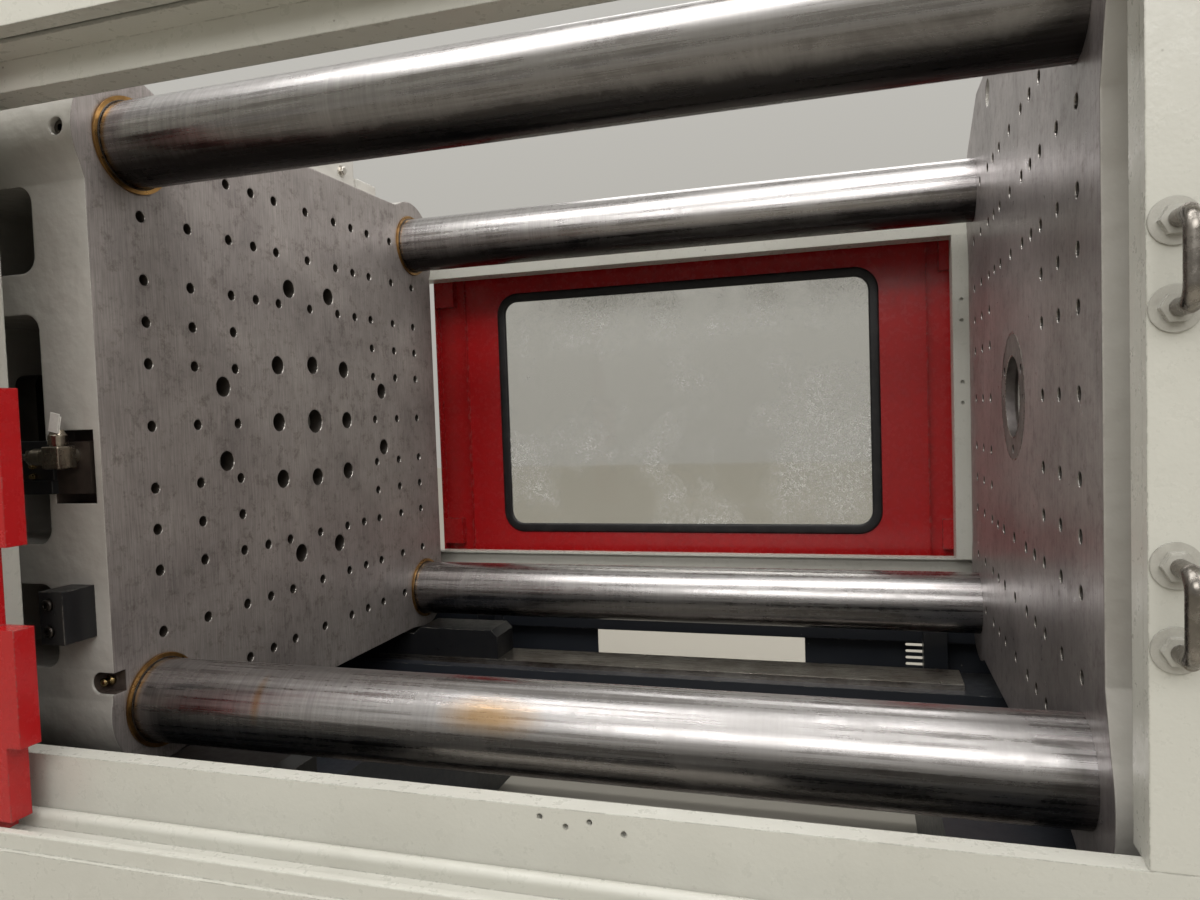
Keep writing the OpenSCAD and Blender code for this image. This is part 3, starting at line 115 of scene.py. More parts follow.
floor_paint, _ = finish_named("pale_floor", Base_Color=linear("#a8a49b"), Roughness=0.85,
    Specular_IOR_Level=0.2)
ground = bmesh.new()
bmesh.ops.create_grid(ground, x_segments=1, y_segments=1, size=22)
floor_mesh = bpy.data.meshes.new("floor")
ground.to_mesh(floor_mesh)
ground.free()
floor = bpy.data.objects.new("floor", floor_mesh)
bpy.context.collection.objects.link(floor)
floor_mesh.materials.append(floor_paint)

# Light: soft boxes over the machine and beside the operator's aisle. The plain
# surround is paler overhead. It lights more strongly than it shows to the camera,
# in metal or through glass.
world = bpy.data.worlds.new("surround")
bpy.context.scene.world = world
world.use_nodes = True
aloft = node(world, "SeparateXYZ",
    {"Vector": node(world, "TexCoord").outputs["Generated"]}).outputs["Z"]
rise = node(world, "MapRange", {"Value": aloft, "From Min": -0.1, "From Max": 0.7})
sky = node(world, "Mix", {0: rise.outputs["Result"], 6: linear("#a9a69f"), 7: linear("#d4d2cc")},
    data_type="RGBA")
ray = node(world, "LightPath").outputs
seen = node(world, "Math", {0: ray["Is Camera Ray"], 1: ray["Is Glossy Ray"]}, operation="MAXIMUM")
seen = node(world, "Math", {0: seen.outputs["Value"], 1: ray["Is Transmission Ray"]},
    operation="MAXIMUM")
level = node(world, "MapRange", {"Value": seen.outputs["Value"], "To Min": 1.4, "To Max": 0.95})
node(world, world.node_tree.nodes["Background"],
    {"Color": sky.outputs[2], "Strength": level.outputs["Result"]})
for name, place, aim, size, power in [
    ("overhead", (-1.0, -1.1, 5.2), (-1.2, -0.3, 0.0), (5.0, 2.0), 160),
    ("aisle", (-0.6, -5.2, 4.0), (-1.2, 0.0, 1.3), (4.5, 1.6), 112),
    ("bar_streak", (-1.2, -2.3, 3.7), (-1.2, -0.4, 1.5), (4.4, 0.1), 16),
    ("thin_streak", (-1.2, -1.1, 4.2), (-1.2, -0.6, 1.5), (4.4, 0.06), 7),
    ("far_side", (-0.8, 3.2, 5.2), (-1.2, 0.6, 1.0), (4.0, 1.4), 60),
    ("injection_end", (4.2, -1.6, 4.4), (2.6, 0.0, 1.4), (3.0, 3.0), 120),
]:
    lamp = bpy.data.lights.new(name, "AREA")
    lamp.shape = "RECTANGLE"
    lamp.size, lamp.size_y = size
    lamp.energy = power
    lamp.color = linear("#fefdfb")[:3]
    holder = bpy.data.objects.new(name, lamp)
    holder.location = place
    holder.rotation_euler = (Vector(aim) - Vector(place)).to_track_quat("-Z", "Y").to_euler()
    bpy.context.collection.objects.link(holder)
bpy.context.scene.view_settings.view_transform = "Standard"


# Sheet covers, sills, headers and posts: folded steel sheet in a pale warm grey
# two-pack enamel. Sprayed, so it shines through a fine orange peel. Its corners
# are chipped to dark primer, and it has a few dents and specks of dirt.
def enamel(name, colour, bare="#4b4038", roughness=0.3, wear=0.55, grime=0.25, peel=0.3):
    material, shader = finish_named(name, IOR=1.5)
    place = node(material, "TexCoord").outputs["Object"]
    # Clouds of grime half a metre across, and scuffs of a few centimetres
    cloud = node(material, "TexNoise", {"Vector": place, "Scale": 2.2, "Detail": 5,
        "Roughness": 0.62})
    scuff = node(material, "TexNoise", {"Vector": place, "Scale": 38, "Detail": 4,
        "Roughness": 0.7})
    dirt = node(material, "MapRange", {"Value": cloud.outputs["Fac"], "From Min": 0.45,
        "From Max": 0.75, "To Max": grime})
    clean = linear(colour)
    dull = [clean[0] * 0.62, clean[1] * 0.6, clean[2] * 0.56, 1]
    coat = node(material, "Mix", {0: dirt.outputs["Result"], 6: clean, 7: dull}, data_type="RGBA")
    # Chips sit where the sheet's edge turns
    rounded, chip = chipped(material, 0.004, scuff.outputs["Fac"], 0.56 - 0.12 * wear,
        0.6 - 0.12 * wear)
    # Specks 2 to 4 mm across, a hand apart
    spot = node(material, "TexVoronoi", {"Vector": place, "Scale": 11})
    speck = node(material, "MapRange", {"Value": spot.outputs["Distance"], "From Min": 0.036,
        "From Max": 0.02, "To Max": 0.8})
    marked = node(material, "Math", {0: chip, 1: speck.outputs["Result"]},
        operation="MAXIMUM")
    metal = node(material, "Mix", {0: scuff.outputs["Fac"], 6: linear(bare), 7: linear("#8a857d")},
        data_type="RGBA")
    top = node(material, "Mix", {0: marked.outputs["Value"], 6: coat.outputs[2],
        7: metal.outputs[2]}, data_type="RGBA")
    gloss = node(material, "MapRange", {"Value": scuff.outputs["Fac"], "From Min": 0.3,
        "From Max": 0.7, "To Min": roughness - 0.07, "To Max": roughness + 0.1})
    # Orange peel with cells of about 7 mm
    cells = node(material, "TexNoise", {"Vector": place, "Scale": 145, "Detail": 1})
    skin = node(material, "Bump", {"Height": cells.outputs["Fac"], "Strength": peel,
        "Distance": 0.0009, "Normal": rounded})
    node(material, shader, {"Base Color": top.outputs[2], "Roughness": gloss.outputs["Result"],
        "Normal": skin.outputs["Normal"]})
    return material


def dress(material, *names):
    """Gives CAD nodes a finish."""
    for name in names:
        parts[name].data.materials.clear()
        parts[name].data.materials.append(material)


machine_grey = enamel("enamel_warm_grey", "#b9b8b0")
dress(machine_grey, "front_sill", "rear_sill", "front_header", "rear_header", "gate_posts",
    "clamp_covers", "injection_covers", "electrical_cabinet", "cabinet_door", "barrel_guard")

# Bed, way beams and base panels: welded plate in a blue-black enamel, dusty on
# its upper faces.
bed_navy = enamel("enamel_blue_black", "#24272d", bare="#6a665f", roughness=0.38, wear=0.4,
    grime=0.5, peel=0.2)
dress(bed_navy, "clamp_bed", "injection_bed", "base_panels", "oil_tank")

# Clamp end: the end platen, cylinder, prefill tank and ejector cylinders are
# castings and weldments in the covers' grey, with a coarser skin than the sheet.
casting_grey = enamel("enamel_on_casting", "#b2b0a6", roughness=0.42, wear=0.5, grime=0.45,
    peel=0.6)
dress(casting_grey, "clamp_platen", "clamp_cylinder", "prefill_tank", "ejector_cylinders",
    "injection_sled", "feed_housing", "carriage_cylinders", "injection_crosshead")


# Fixed and moving platens: iron castings. Their mould faces are ground, then
# oiled and handled until they are mottled brown and grey. Their sides are in a
# thick grey paint that follows the sand-cast surface, with bright chipped edges.
def platen_iron(name, face_x, light, dark, gloss_low, gloss_high, slot_reach):
    material, shader = finish_named(name)
    place = node(material, "TexCoord").outputs["Object"]
    axes = node(material, "SeparateXYZ", {"Vector": place})
    away = node(material, "Math", {0: axes.outputs["X"], 1: face_x}, operation="SUBTRACT")
    off = node(material, "Math", {0: away.outputs["Value"]}, operation="ABSOLUTE")
    # All that lies within 0.6 mm of the mould face's plane is ground
    ground_face = node(material, "Math", {0: off.outputs["Value"], 1: 0.0006},
        operation="LESS_THAN").outputs["Value"]
    # Upright feed marks 4 mm apart, and stains from 5 cm to half a metre across
    stretched = node(material, "Mapping", {"Vector": place, "Scale": (1, 34, 1.4)})
    feed = node(material, "TexNoise", {"Vector": stretched.outputs["Vector"], "Scale": 7,
        "Detail": 5, "Roughness": 0.6})
    stain = node(material, "TexNoise", {"Vector": place, "Scale": 3.1, "Detail": 8,
        "Roughness": 0.7, "Distortion": 0.4})
    blotch = node(material, "TexNoise", {"Vector": place, "Scale": 26, "Detail": 9,
        "Roughness": 0.78})
    shade = node(material, "MapRange", {"Value": stain.outputs["Fac"], "From Min": 0.3,
        "From Max": 0.66})
    iron = node(material, "Mix", {0: shade.outputs["Result"], 6: linear(dark), 7: linear(light)},
        data_type="RGBA")
    patch = node(material, "MapRange", {"Value": blotch.outputs["Fac"], "From Min": 0.52,
        "From Max": 0.66, "To Max": 0.6})
    brown = node(material, "Mix", {0: patch.outputs["Result"], 6: iron.outputs[2],
        7: linear("#564a45")}, data_type="RGBA")
    streak = node(material, "MapRange", {"Value": feed.outputs["Fac"], "From Min": 0.36,
        "From Max": 0.64, "To Min": 0.8, "To Max": 1.14})
    milled = node(material, "Mix", {0: 1.0, 6: brown.outputs[2], 7: streak.outputs["Result"]},
        data_type="RGBA", blend_type="MULTIPLY")
    # Thick paint: waves of 4 cm, oil darkened low down
    wave = node(material, "TexNoise", {"Vector": place, "Scale": 24, "Detail": 3,
        "Roughness": 0.45})
    low = node(material, "MapRange", {"Value": axes.outputs["Z"], "From Min": 1.3, "From Max": 0.8})
    wet = node(material, "Math", {0: low.outputs["Result"], 1: stain.outputs["Fac"]},
        operation="MULTIPLY")
    oily = node(material, "MapRange", {"Value": wet.outputs["Value"], "From Min": 0.4,
        "From Max": 0.56, "To Max": 0.4})
    soiled = node(material, "MapRange", {"Value": stain.outputs["Fac"], "From Min": 0.4,
        "From Max": 0.7, "To Max": 0.4})
    base = node(material, "Mix", {0: soiled.outputs["Result"], 6: linear("#aeaba5"),
        7: linear("#928b83")}, data_type="RGBA")
    paint = node(material, "Mix", {0: oily.outputs["Result"], 6: base.outputs[2],
        7: linear("#655d55")}, data_type="RGBA")
    rounded, chip = chipped(material, 0.007, blotch.outputs["Fac"], 0.42, 0.5)
    side = node(material, "Mix", {0: chip, 6: paint.outputs[2], 7: linear("#d2cfc8")},
        data_type="RGBA")
    # Slots milled into the painted edge near the face are bare and greasy, and painted near black
    # as the shade inside them
    slot_front_y, slot_floor_y, slot_low_z = -0.811, -0.74, 0.94
    slot = node(material, "Math", {0: axes.outputs["Y"], 1: slot_front_y}, operation="GREATER_THAN")
    for measure, limit, test in [(axes.outputs["Y"], slot_floor_y, "LESS_THAN"),
        (off.outputs["Value"], slot_reach, "LESS_THAN"),
        (axes.outputs["Z"], slot_low_z, "GREATER_THAN")]:
        within = node(material, "Math", {0: measure, 1: limit}, operation=test)
        slot = node(material, "Math", {0: slot.outputs["Value"], 1: within.outputs["Value"]},
            operation="MULTIPLY")
    # Grease and painted shade: the slot faces go near black
    grease_and_slot_shade = node(material, "Mix", {0: blotch.outputs["Fac"], 6: linear("#2b2522"),
        7: linear("#5a504a")}, data_type="RGBA")
    side = node(material, "Mix", {0: slot.outputs["Value"], 6: side.outputs[2],
        7: grease_and_slot_shade.outputs[2]}, data_type="RGBA")
    colour = node(material, "Mix", {0: ground_face, 6: side.outputs[2], 7: milled.outputs[2]},
        data_type="RGBA")
    dull = node(material, "MapRange", {"Value": blotch.outputs["Fac"], "From Min": 0.35,
        "From Max": 0.7, "To Min": gloss_low, "To Max": gloss_high})
    damp = node(material, "MapRange", {"Value": oily.outputs["Result"], "From Max": 0.4,
        "To Min": 0.21, "To Max": 0.1})
    gloss = node(material, "Mix", {0: ground_face, 2: damp.outputs["Result"],
        3: dull.outputs["Result"]})
    metal = node(material, "Math", {0: ground_face, 1: 0.55}, operation="MULTIPLY")
    relief = node(material, "Mix", {0: ground_face, 2: wave.outputs["Fac"], 3: feed.outputs["Fac"]})
    depth = node(material, "Mix", {0: ground_face, 2: 0.008, 3: 0.0006})
    skin = node(material, "Bump", {"Height": relief.outputs["Result"], "Strength": 0.35,
        "Distance": depth.outputs["Result"], "Normal": rounded})
    node(material, shader, {"Base Color": colour.outputs[2], "Roughness": gloss.outputs["Result"],
         "Metallic": metal.outputs["Value"], "Normal": skin.outputs["Normal"]})
    return material


# Metres in the frame: the two mould faces and the machine's axis over the floor
fixed_face_x, moving_face_x, axis_z = -0.25, -2.28, 1.56
# Millimetres from the axis to each bar's centre, and between the mould faces
bar_off, opening = 673, 2030
dress(platen_iron("ground_iron_fixed", fixed_face_x, "#9a9392", "#756e6e", 0.27, 0.42, 0.0),
    "fixed_platen")
dress(platen_iron("ground_iron_moving", moving_face_x, "#9c9591", "#7c7573", 0.4, 0.56, 0.143),
    "moving_platen")


# Holes in the mould faces: drilled and tapped, oily inside and painted near black
# as the shade deep in them, each with a narrow countersink that bolts have kept bright.
def piece(name, shape, materials, body, smooth=True):
    """Turns a bmesh into a piece that rides on a body."""
    mesh = bpy.data.meshes.new(name)
    shape.to_mesh(mesh)
    shape.free()
    made = bpy.data.objects.new(name, mesh)
    bpy.context.collection.objects.link(made)
    for material in materials if isinstance(materials, list) else [materials]:
        mesh.materials.append(material)
    mesh.polygons.foreach_set("use_smooth", [smooth] * len(mesh.polygons))
    mesh.update()
    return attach(made, body)


def at(x, y, z):
    """A place given in millimetres from the middle of the fixed mould face."""
    return Vector(((x - 250) / 1000, y / 1000, (z + 1560) / 1000))


def facing(axis):
    """Turns what is made along X to another axis."""
    return Vector((1, 0, 0)).rotation_difference(Vector(axis)).to_matrix().to_4x4()


def turned(profile, steps, centre=(0, 0, 0), axis=(1, 0, 0), start=0.0):
    """Spins a profile of distances along the axis and radii about that axis."""
    made = bmesh.new()
    chain = [made.verts.new((a, r, 0)) for a, r in profile]
    edges = [made.edges.new(pair) for pair in zip(chain, chain[1:])]
    bmesh.ops.spin(made, geom=chain + edges, cent=(0, 0, 0), axis=(1, 0, 0), angle=math.tau,
        steps=steps, use_merge=True)
    bmesh.ops.remove_doubles(made, verts=made.verts, dist=1e-6)
    bmesh.ops.recalc_face_normals(made, faces=made.faces)
    turn = facing(axis) @ Matrix.Rotation(start, 4, "X")
    bmesh.ops.transform(made, matrix=Matrix.Translation(centre) @ turn, verts=made.verts)
    return made


def gather(shapes):
    """Joins several bmeshes into one."""
    joined = bmesh.new()
    for shape in shapes:
        pack = bpy.data.meshes.new("pack")
        shape.to_mesh(pack)
        shape.free()
        joined.from_mesh(pack)
        bpy.data.meshes.remove(pack)
    return joined


# Bores painted near black: oil, and painted shade for the depth of the holes
bore_oil_and_shade = mottled("oily_bore_painted_shade", 60, 3, linear("#17130f"), linear("#37302a"), 0.3, 0.6,
    Metallic=0.4)
rim_steel = mottled("rubbed_countersink", 40, 4, linear("#57504a"), linear("#dedad3"), 0.15, 0.4,
    grain=0.7, Metallic=1.0)

# Rows of the pattern in inches from the axis, and the holes' radii in metres
inch, tap_radius, rod_radius, middle_radius = 0.0254, 0.0137, 0.0272, 0.0367
grid = [0, 6, 10, 14, 20, 26]
tapped = [(a, b, tap_radius) for a in grid for b in grid if max(a, b) >= 14 and min(a, b) < 26]
plain = [(a, b, rod_radius) for a, b in [(16, 4), (4, 16), (0, 7), (7, 0), (6.75, 6.7)]]
plain.append((0, 0, middle_radius))
for body, face, inward in [("root", fixed_face_x, 1), ("platen", moving_face_x, -1)]:
    liners = []
    for a, b, radius in tapped + (plain if body == "platen" else []):
        for sy in (1, -1) if a else (1,):
            for sz in (1, -1) if b else (1,):
                steps = 18 if radius < 0.02 else 28
                liners.append(turned([(-0.0003, radius + 0.0011), (0.0011, radius),
                    (0.045, radius)], steps, (face, sy * a * inch, axis_z + sz * b * inch),
                    (inward, 0, 0)))
    rims = gather(liners)
    # Faces of a hole look at its middle, which the normals of an open ring may not
    if sum(f.normal.x * inward for f in rims.faces) > 0:
        bmesh.ops.reverse_faces(rims, faces=rims.faces)
    for f in rims.faces:
        f.material_index = 1 if abs(f.normal.x) > 0.3 else 0
    piece("hole_rims_" + body, rims, [bore_oil_and_shade, rim_steel], body)


# Tie bars: 200 mm of hardened steel, ground round and polished by the bushings.
# They mirror long thin streaks. Turning lines show where the moving platen has
# stood, the undersides are darkened brown-black as painted shade, and rust water
# has stained the lower front bar yellow.
bar_steel, bar_shader = finish_named("polished_bar_steel", Metallic=1.0)
bar_place = node(bar_steel, "TexCoord").outputs["Object"]
bar_axes = node(bar_steel, "SeparateXYZ", {"Vector": bar_place}).outputs
rings_at = node(bar_steel, "Mapping", {"Vector": bar_place, "Scale": (60, 0.8, 0.8)})
ring_marks = node(bar_steel, "TexNoise",
    {"Vector": rings_at.outputs["Vector"], "Scale": 2.4, "Detail": 5, "Roughness": 0.7})
along_at = node(bar_steel, "Mapping", {"Vector": bar_place, "Scale": (0.35, 26, 26)})
along_marks = node(bar_steel, "TexNoise",
    {"Vector": along_at.outputs["Vector"], "Scale": 3.2, "Detail": 5, "Roughness": 0.65})
wiped = node(bar_steel, "TexNoise", {"Vector": bar_place, "Scale": 4.5, "Detail": 7,
    "Roughness": 0.72, "Distortion": 0.5})
rubbed = node(bar_steel, "MapRange", {"Value": wiped.outputs["Fac"], "From Min": 0.42,
    "From Max": 0.64})
lines = node(bar_steel, "MapRange", {"Value": along_marks.outputs["Fac"], "From Min": 0.36,
    "From Max": 0.62})
steel_tone = node(bar_steel, "Mix", {0: lines.outputs["Result"], 6: linear("#8b8786"),
    7: linear("#b9b6b6")}, data_type="RGBA")
worn_tone = node(bar_steel, "Mix", {0: rubbed.outputs["Result"], 6: steel_tone.outputs[2],
    7: linear("#a19e9d")}, data_type="RGBA")
# Rings are strongest over the first metre from the moving platen
near = node(bar_steel, "MapRange", {"Value": bar_axes["X"], "From Min": -1.1, "From Max": -2.2,
    "To Min": 0.15, "To Max": 1.0})
ring_tone = node(bar_steel, "MapRange", {"Value": ring_marks.outputs["Fac"], "From Min": 0.36,
    "From Max": 0.64, "To Min": 0.8, "To Max": 1.14})
ringed = node(bar_steel, "Mix", {0: 1.0, 6: worn_tone.outputs[2], 7: ring_tone.outputs["Result"]},
    data_type="RGBA", blend_type="MULTIPLY")
turned_tone = node(bar_steel, "Mix", {0: near.outputs["Result"], 6: worn_tone.outputs[2],
    7: ringed.outputs[2]}, data_type="RGBA")
# Height over the bar's own centre line, for the painted shade on its underside
over = node(bar_steel, "Math", {0: bar_axes["Z"], 1: axis_z}, operation="SUBTRACT")
side = node(bar_steel, "Math", {0: over.outputs["Value"]}, operation="SIGN")
on_bar = node(bar_steel, "Math", {0: side.outputs["Value"], 1: -bar_off / 1000,
    2: over.outputs["Value"]}, operation="MULTIPLY_ADD")
loose = node(bar_steel, "Math", {0: wiped.outputs["Fac"], 1: 0.05, 2: on_bar.outputs["Value"]},
    operation="MULTIPLY_ADD")
# Painted shade: each bar's underside is darkened towards brown-black
underside_shade = node(bar_steel, "MapRange", {"Value": loose.outputs["Value"], "From Min": 0.01,
    "From Max": -0.045, "To Max": 0.93})
underside_shaded = node(bar_steel, "Mix", {0: underside_shade.outputs["Result"], 6: turned_tone.outputs[2],
    7: linear("#252221")}, data_type="RGBA")
tone = underside_shaded
for spot, reach, amount in [((-1.37, -0.76, 0.935), (7, 15, 20), 0.75),
    ((-1.935, -0.76, 0.935), (60, 9, 14), 0.6)]:
    stain_from = node(bar_steel, "VectorMath", {0: bar_place, 1: spot}, operation="SUBTRACT")
    stain_shape = node(bar_steel, "VectorMath", {0: stain_from.outputs["Vector"], 1: reach},
        operation="MULTIPLY")
    stain_far = node(bar_steel, "VectorMath", {0: stain_shape.outputs["Vector"]},
        operation="LENGTH")
    stain_rough = node(bar_steel, "Math", {0: stain_far.outputs["Value"], 1: wiped.outputs["Fac"]},
        operation="ADD")
    stained = node(bar_steel, "MapRange", {"Value": stain_rough.outputs["Value"], "From Min": 1.4,
        "From Max": 0.7, "To Max": amount})
    tone = node(bar_steel, "Mix", {0: stained.outputs["Result"], 6: tone.outputs[2],
        7: linear("#a98450")}, data_type="RGBA")
bar_gloss = node(bar_steel, "MapRange", {"Value": along_marks.outputs["Fac"], "From Min": 0.3,
    "From Max": 0.7, "To Min": 0.16, "To Max": 0.34})
bar_dull = node(bar_steel, "Math", {0: rubbed.outputs["Result"], 1: 0.1,
    2: bar_gloss.outputs["Result"]}, operation="MULTIPLY_ADD")
ring_height = node(bar_steel, "Math", {0: ring_marks.outputs["Fac"], 1: near.outputs["Result"]},
    operation="MULTIPLY")
bar_height = node(bar_steel, "Math", {0: along_marks.outputs["Fac"], 1: 0.6,
    2: ring_height.outputs["Value"]}, operation="MULTIPLY_ADD")
bar_skin = node(bar_steel, "Bump", {"Height": bar_height.outputs["Value"], "Strength": 0.1,
    "Distance": 0.0005})
node(bar_steel, bar_shader, {"Base Color": tone.outputs[2], "Roughness": bar_dull.outputs["Value"],
    "Normal": bar_skin.outputs["Normal"]})
dress(bar_steel, "tie_bars")


# Machined steel: nuts, rails, rods and rings, as turned or ground, each to its
# own darkness.
def machined(name, colour, deep, roughness, lay=(1, 1, 1)):
    material, shader = finish_named(name, Metallic=1.0)
    place = node(material, "TexCoord").outputs["Object"]
    pulled = node(material, "Mapping", {"Vector": place, "Scale": lay})
    cut = node(material, "TexNoise", {"Vector": pulled.outputs["Vector"], "Scale": 30, "Detail": 5,
        "Roughness": 0.65})
    dirt = node(material, "TexNoise", {"Vector": place, "Scale": 6, "Detail": 6, "Roughness": 0.7})
    shade = node(material, "MapRange", {"Value": dirt.outputs["Fac"], "From Min": 0.38,
        "From Max": 0.66})
    tone = node(material, "Mix", {0: shade.outputs["Result"], 6: linear(colour), 7: linear(deep)},
        data_type="RGBA")
    gloss = node(material, "MapRange", {"Value": cut.outputs["Fac"], "From Min": 0.3,
        "From Max": 0.7, "To Min": roughness - 0.08, "To Max": roughness + 0.12})
    rounded = node(material, "Bevel", {"Radius": 0.0015}, samples=2)
    skin = node(material, "Bump", {"Height": cut.outputs["Fac"], "Strength": 0.2,
        "Distance": 0.0004, "Normal": rounded.outputs["Normal"]})
    node(material, shader, {"Base Color": tone.outputs[2], "Roughness": gloss.outputs["Result"],
        "Normal": skin.outputs["Normal"]})
    return material


dress(machined("hard_chrome_rod", "#cfcfd0", "#b7b6b5", 0.16, (9, 1, 1)), "pull_in_rods",
    "clamp_ram", "ejector_rods", "screw")
dark_steel = machined("oil_blacked_steel", "#5a5550", "#37322e", 0.4)
dress(dark_steel, "tie_bar_nuts", "levelling_mounts", "ejector_plate")

# Bushings in the moving platen: bronze sleeves, dull with old grease, with a
# black wiper ring between each and its bar.
dress(machined("greased_bronze", "#b98f56", "#6f5230", 0.3, (9, 1, 1)), "bar_bushings")
wiper_black = mottled("grease_black", 70, 3, linear("#0d0b0a"), linear("#33281c"), 0.15, 0.5,
    Specular_IOR_Level=0.4)
lip = [(0.0, 0.1006), (0.0, 0.1036), (0.0012, 0.1032), (0.0016, 0.102), (0.0012, 0.1008),
    (0.0, 0.1006)]
wipers = [turned(lip, 64, at(6.2 - opening, sy * bar_off, sz * bar_off))
    for sy in (1, -1) for sz in (1, -1)]
piece("bar_wipers", gather(wipers), wiper_black, "platen")


# Ways: hard steel strips screwed to the bed, and the moving platen's black
# shoes that run on them. The strips are scored grey-brown along their length.
def socket_screw(place, axis, radius, height, key):
    """A cap screw's head with a hexagon socket, standing on its seat."""
    head = turned([(0, radius), (height - 0.15 * radius, radius), (height, radius * 0.87),
        (height, key * 1.25)], 24)
    top = [e for e in head.edges if e.is_boundary and min(v.co.x for v in e.verts) > height - 1e-6]
    lay = Matrix.Translation((height, 0, 0)) @ Matrix.Rotation(math.pi / 2, 4, "Y")
    corners = bmesh.ops.create_circle(head, segments=6, radius=key, matrix=lay)["verts"]
    sides = list({e for v in corners for e in v.link_edges})
    split = bmesh.ops.subdivide_edges(head, edges=sides, cuts=3)["geom"]
    hexagon = list({e for e in sides + [g for g in split if isinstance(g, bmesh.types.BMEdge)]
        if e.is_valid})
    bmesh.ops.bridge_loops(head, edges=top + hexagon)
    walls = bmesh.ops.extrude_edge_only(head, edges=hexagon)["geom"]
    lowest = [g for g in walls if isinstance(g, bmesh.types.BMVert)]
    bmesh.ops.translate(head, vec=(-0.55 * height, 0, 0), verts=lowest)
    round_floor = list({e for v in lowest for e in v.link_edges
        if all(w in lowest for w in e.verts)})
    bmesh.ops.contextual_create(head, geom=lowest + round_floor)
    bmesh.ops.recalc_face_normals(head, faces=head.faces)
    bmesh.ops.transform(head, matrix=Matrix.Translation(place) @ facing(axis), verts=head.verts)
    return head


way_steel = machined("scored_way_steel", "#b3ada6", "#7d736a", 0.28, (0.3, 12, 12))
dress(way_steel, "way_strips", "carriage_rails")
bolt_steel = machined("zinc_plated_steel", "#d9d5cd", "#a59e94", 0.28)
black_bolt = machined("black_oxide_screw", "#4a4642", "#292624", 0.3)
way_screws = [socket_screw(at(x, side * y, -921.7), (0, 0, 1), 0.0082, 0.0072, 0.0042)
    for side in (1, -1) for y in (565, 705)
    for x in (-2668, -2160, -1652, -1144, -636, -128)]
piece("way_screws", gather(way_screws), bolt_steel, "root", smooth=False)
black_oxide = enamel("black_oxide_oiled", "#151517", bare="#77726b", roughness=0.34, wear=0.7,
    grime=0.2, peel=0.1)
dress(black_oxide, "platen_shoes", "stop_block")

# Locating ring in the fixed platen: turned steel, browned by heat, held by
# three cap screws in counterbores. Its outer edge and bore are bright.
ring_steel = machined("turned_ring_steel", "#8a8482", "#5f5a58", 0.46, (1, 1, 1))
dress(ring_steel, "locating_ring")
edges = [turned([(-0.0007, 0.1576), (-0.0007, 0.1592), (0.0004, 0.16)], 96, at(0, 0, 0)),
         turned([(0.0004, 0.1013), (-0.0007, 0.1024), (-0.0007, 0.1036)], 96, at(0, 0, 0))]
bright_edges = gather(edges)
if sum(f.normal.x for f in bright_edges.faces) > 0:
    bmesh.ops.reverse_faces(bright_edges, faces=bright_edges.faces)
piece("ring_edges", bright_edges, rim_steel, "root")
ring_screws = [socket_screw(at(11.8, 131 * math.cos(math.radians(a)),
    131 * math.sin(math.radians(a))), (-1, 0, 0), 0.0105, 0.0098, 0.0058) for a in (30, 150, 270)]
piece("ring_screws", gather(ring_screws), black_bolt, "root", smooth=False)

# Stop block on the moving platen's side: a sawn black plate, held by two deep
# cap screws one above the other.
stop_screws = [socket_screw(at(-2114, -888, z), (0, -1, 0), 0.0142, 0.016, 0.0075)
    for z in (-392, -452)]
piece("stop_screws", gather(stop_screws), black_bolt, "platen", smooth=False)

# Lubrication plug high on the platen's side: a hexagon socket plug in a round
# recess, dark with oil.
plug = [socket_screw(at(-2073, -816, 676), (0, -1, 0), 0.0175, 0.014, 0.0085)]
piece("oil_plug", gather(plug), dark_steel, "platen", smooth=False)

# Grease point: a brass nipple in the black slot above the lower front bar,
# turned in steps, that takes a gun from the operator's side.
brass = machined("turned_brass", "#a48d62", "#5f5138", 0.26)
nipple_steps = [(0, 0.0), (0, 0.0125), (0.009, 0.0125), (0.009, 0.008), (0.018, 0.008),
    (0.02, 0.0105), (0.026, 0.0105), (0.03, 0.004), (0.03, 0.0)]
piece("grease_nipple", turned(nipple_steps, 20, at(-2071, -780, -594), (0, -1, 0)), brass, "platen")

# Mould bracket on top of the moving platen: an angle plate with one hexagon
# bolt and washer through it.
bolt_shape = [turned([(0, 0.0), (0, 0.02), (0.003, 0.0195), (0.003, 0.0)], 32, at(-2052, 246, 855)),
    turned([(0.003, 0.0), (0.003, 0.015), (0.0125, 0.015), (0.014, 0.0125), (0.014, 0.0)], 6,
    at(-2052, 246, 855), start=0.3)]
piece("bracket_bolt", gather(bolt_shape), bolt_steel, "platen", smooth=False)

# Mould connector in its notch: a nickel-plated elbow plug with turned collars
# on a black base, a terminal block with brass ends beside it, and a plain white
# marker sleeve on the upper collar.
nickel = machined("nickel_plated_brass", "#b5ab9b", "#6f665b", 0.22)
seat, seat_shader = finish_named("nickel_on_black_base")
seat_place = node(seat, "TexCoord").outputs["Object"]
seat_depth = node(seat, "SeparateXYZ", {"Vector": seat_place}).outputs["Y"]
plated = node(seat, "Math", {0: seat_depth, 1: -0.8152}, operation="LESS_THAN").outputs["Value"]
tarnish = node(seat, "TexNoise", {"Vector": seat_place, "Scale": 50, "Detail": 5})
base_tone = node(seat, "Mix", {0: tarnish.outputs["Fac"], 6: linear("#1c1816"),
    7: linear("#3c332d")}, data_type="RGBA")
plate_tone = node(seat, "Mix", {0: tarnish.outputs["Fac"], 6: linear("#7c7367"),
    7: linear("#b5ab9b")}, data_type="RGBA")
seat_tone = node(seat, "Mix", {0: plated, 6: base_tone.outputs[2], 7: plate_tone.outputs[2]},
    data_type="RGBA")
seat_gloss = node(seat, "MapRange", {"Value": tarnish.outputs["Fac"], "To Min": 0.2,
    "To Max": 0.45})
node(seat, seat_shader, {"Base Color": seat_tone.outputs[2],
    "Roughness": seat_gloss.outputs["Result"], "Metallic": plated})
dress(seat, "connector_block")


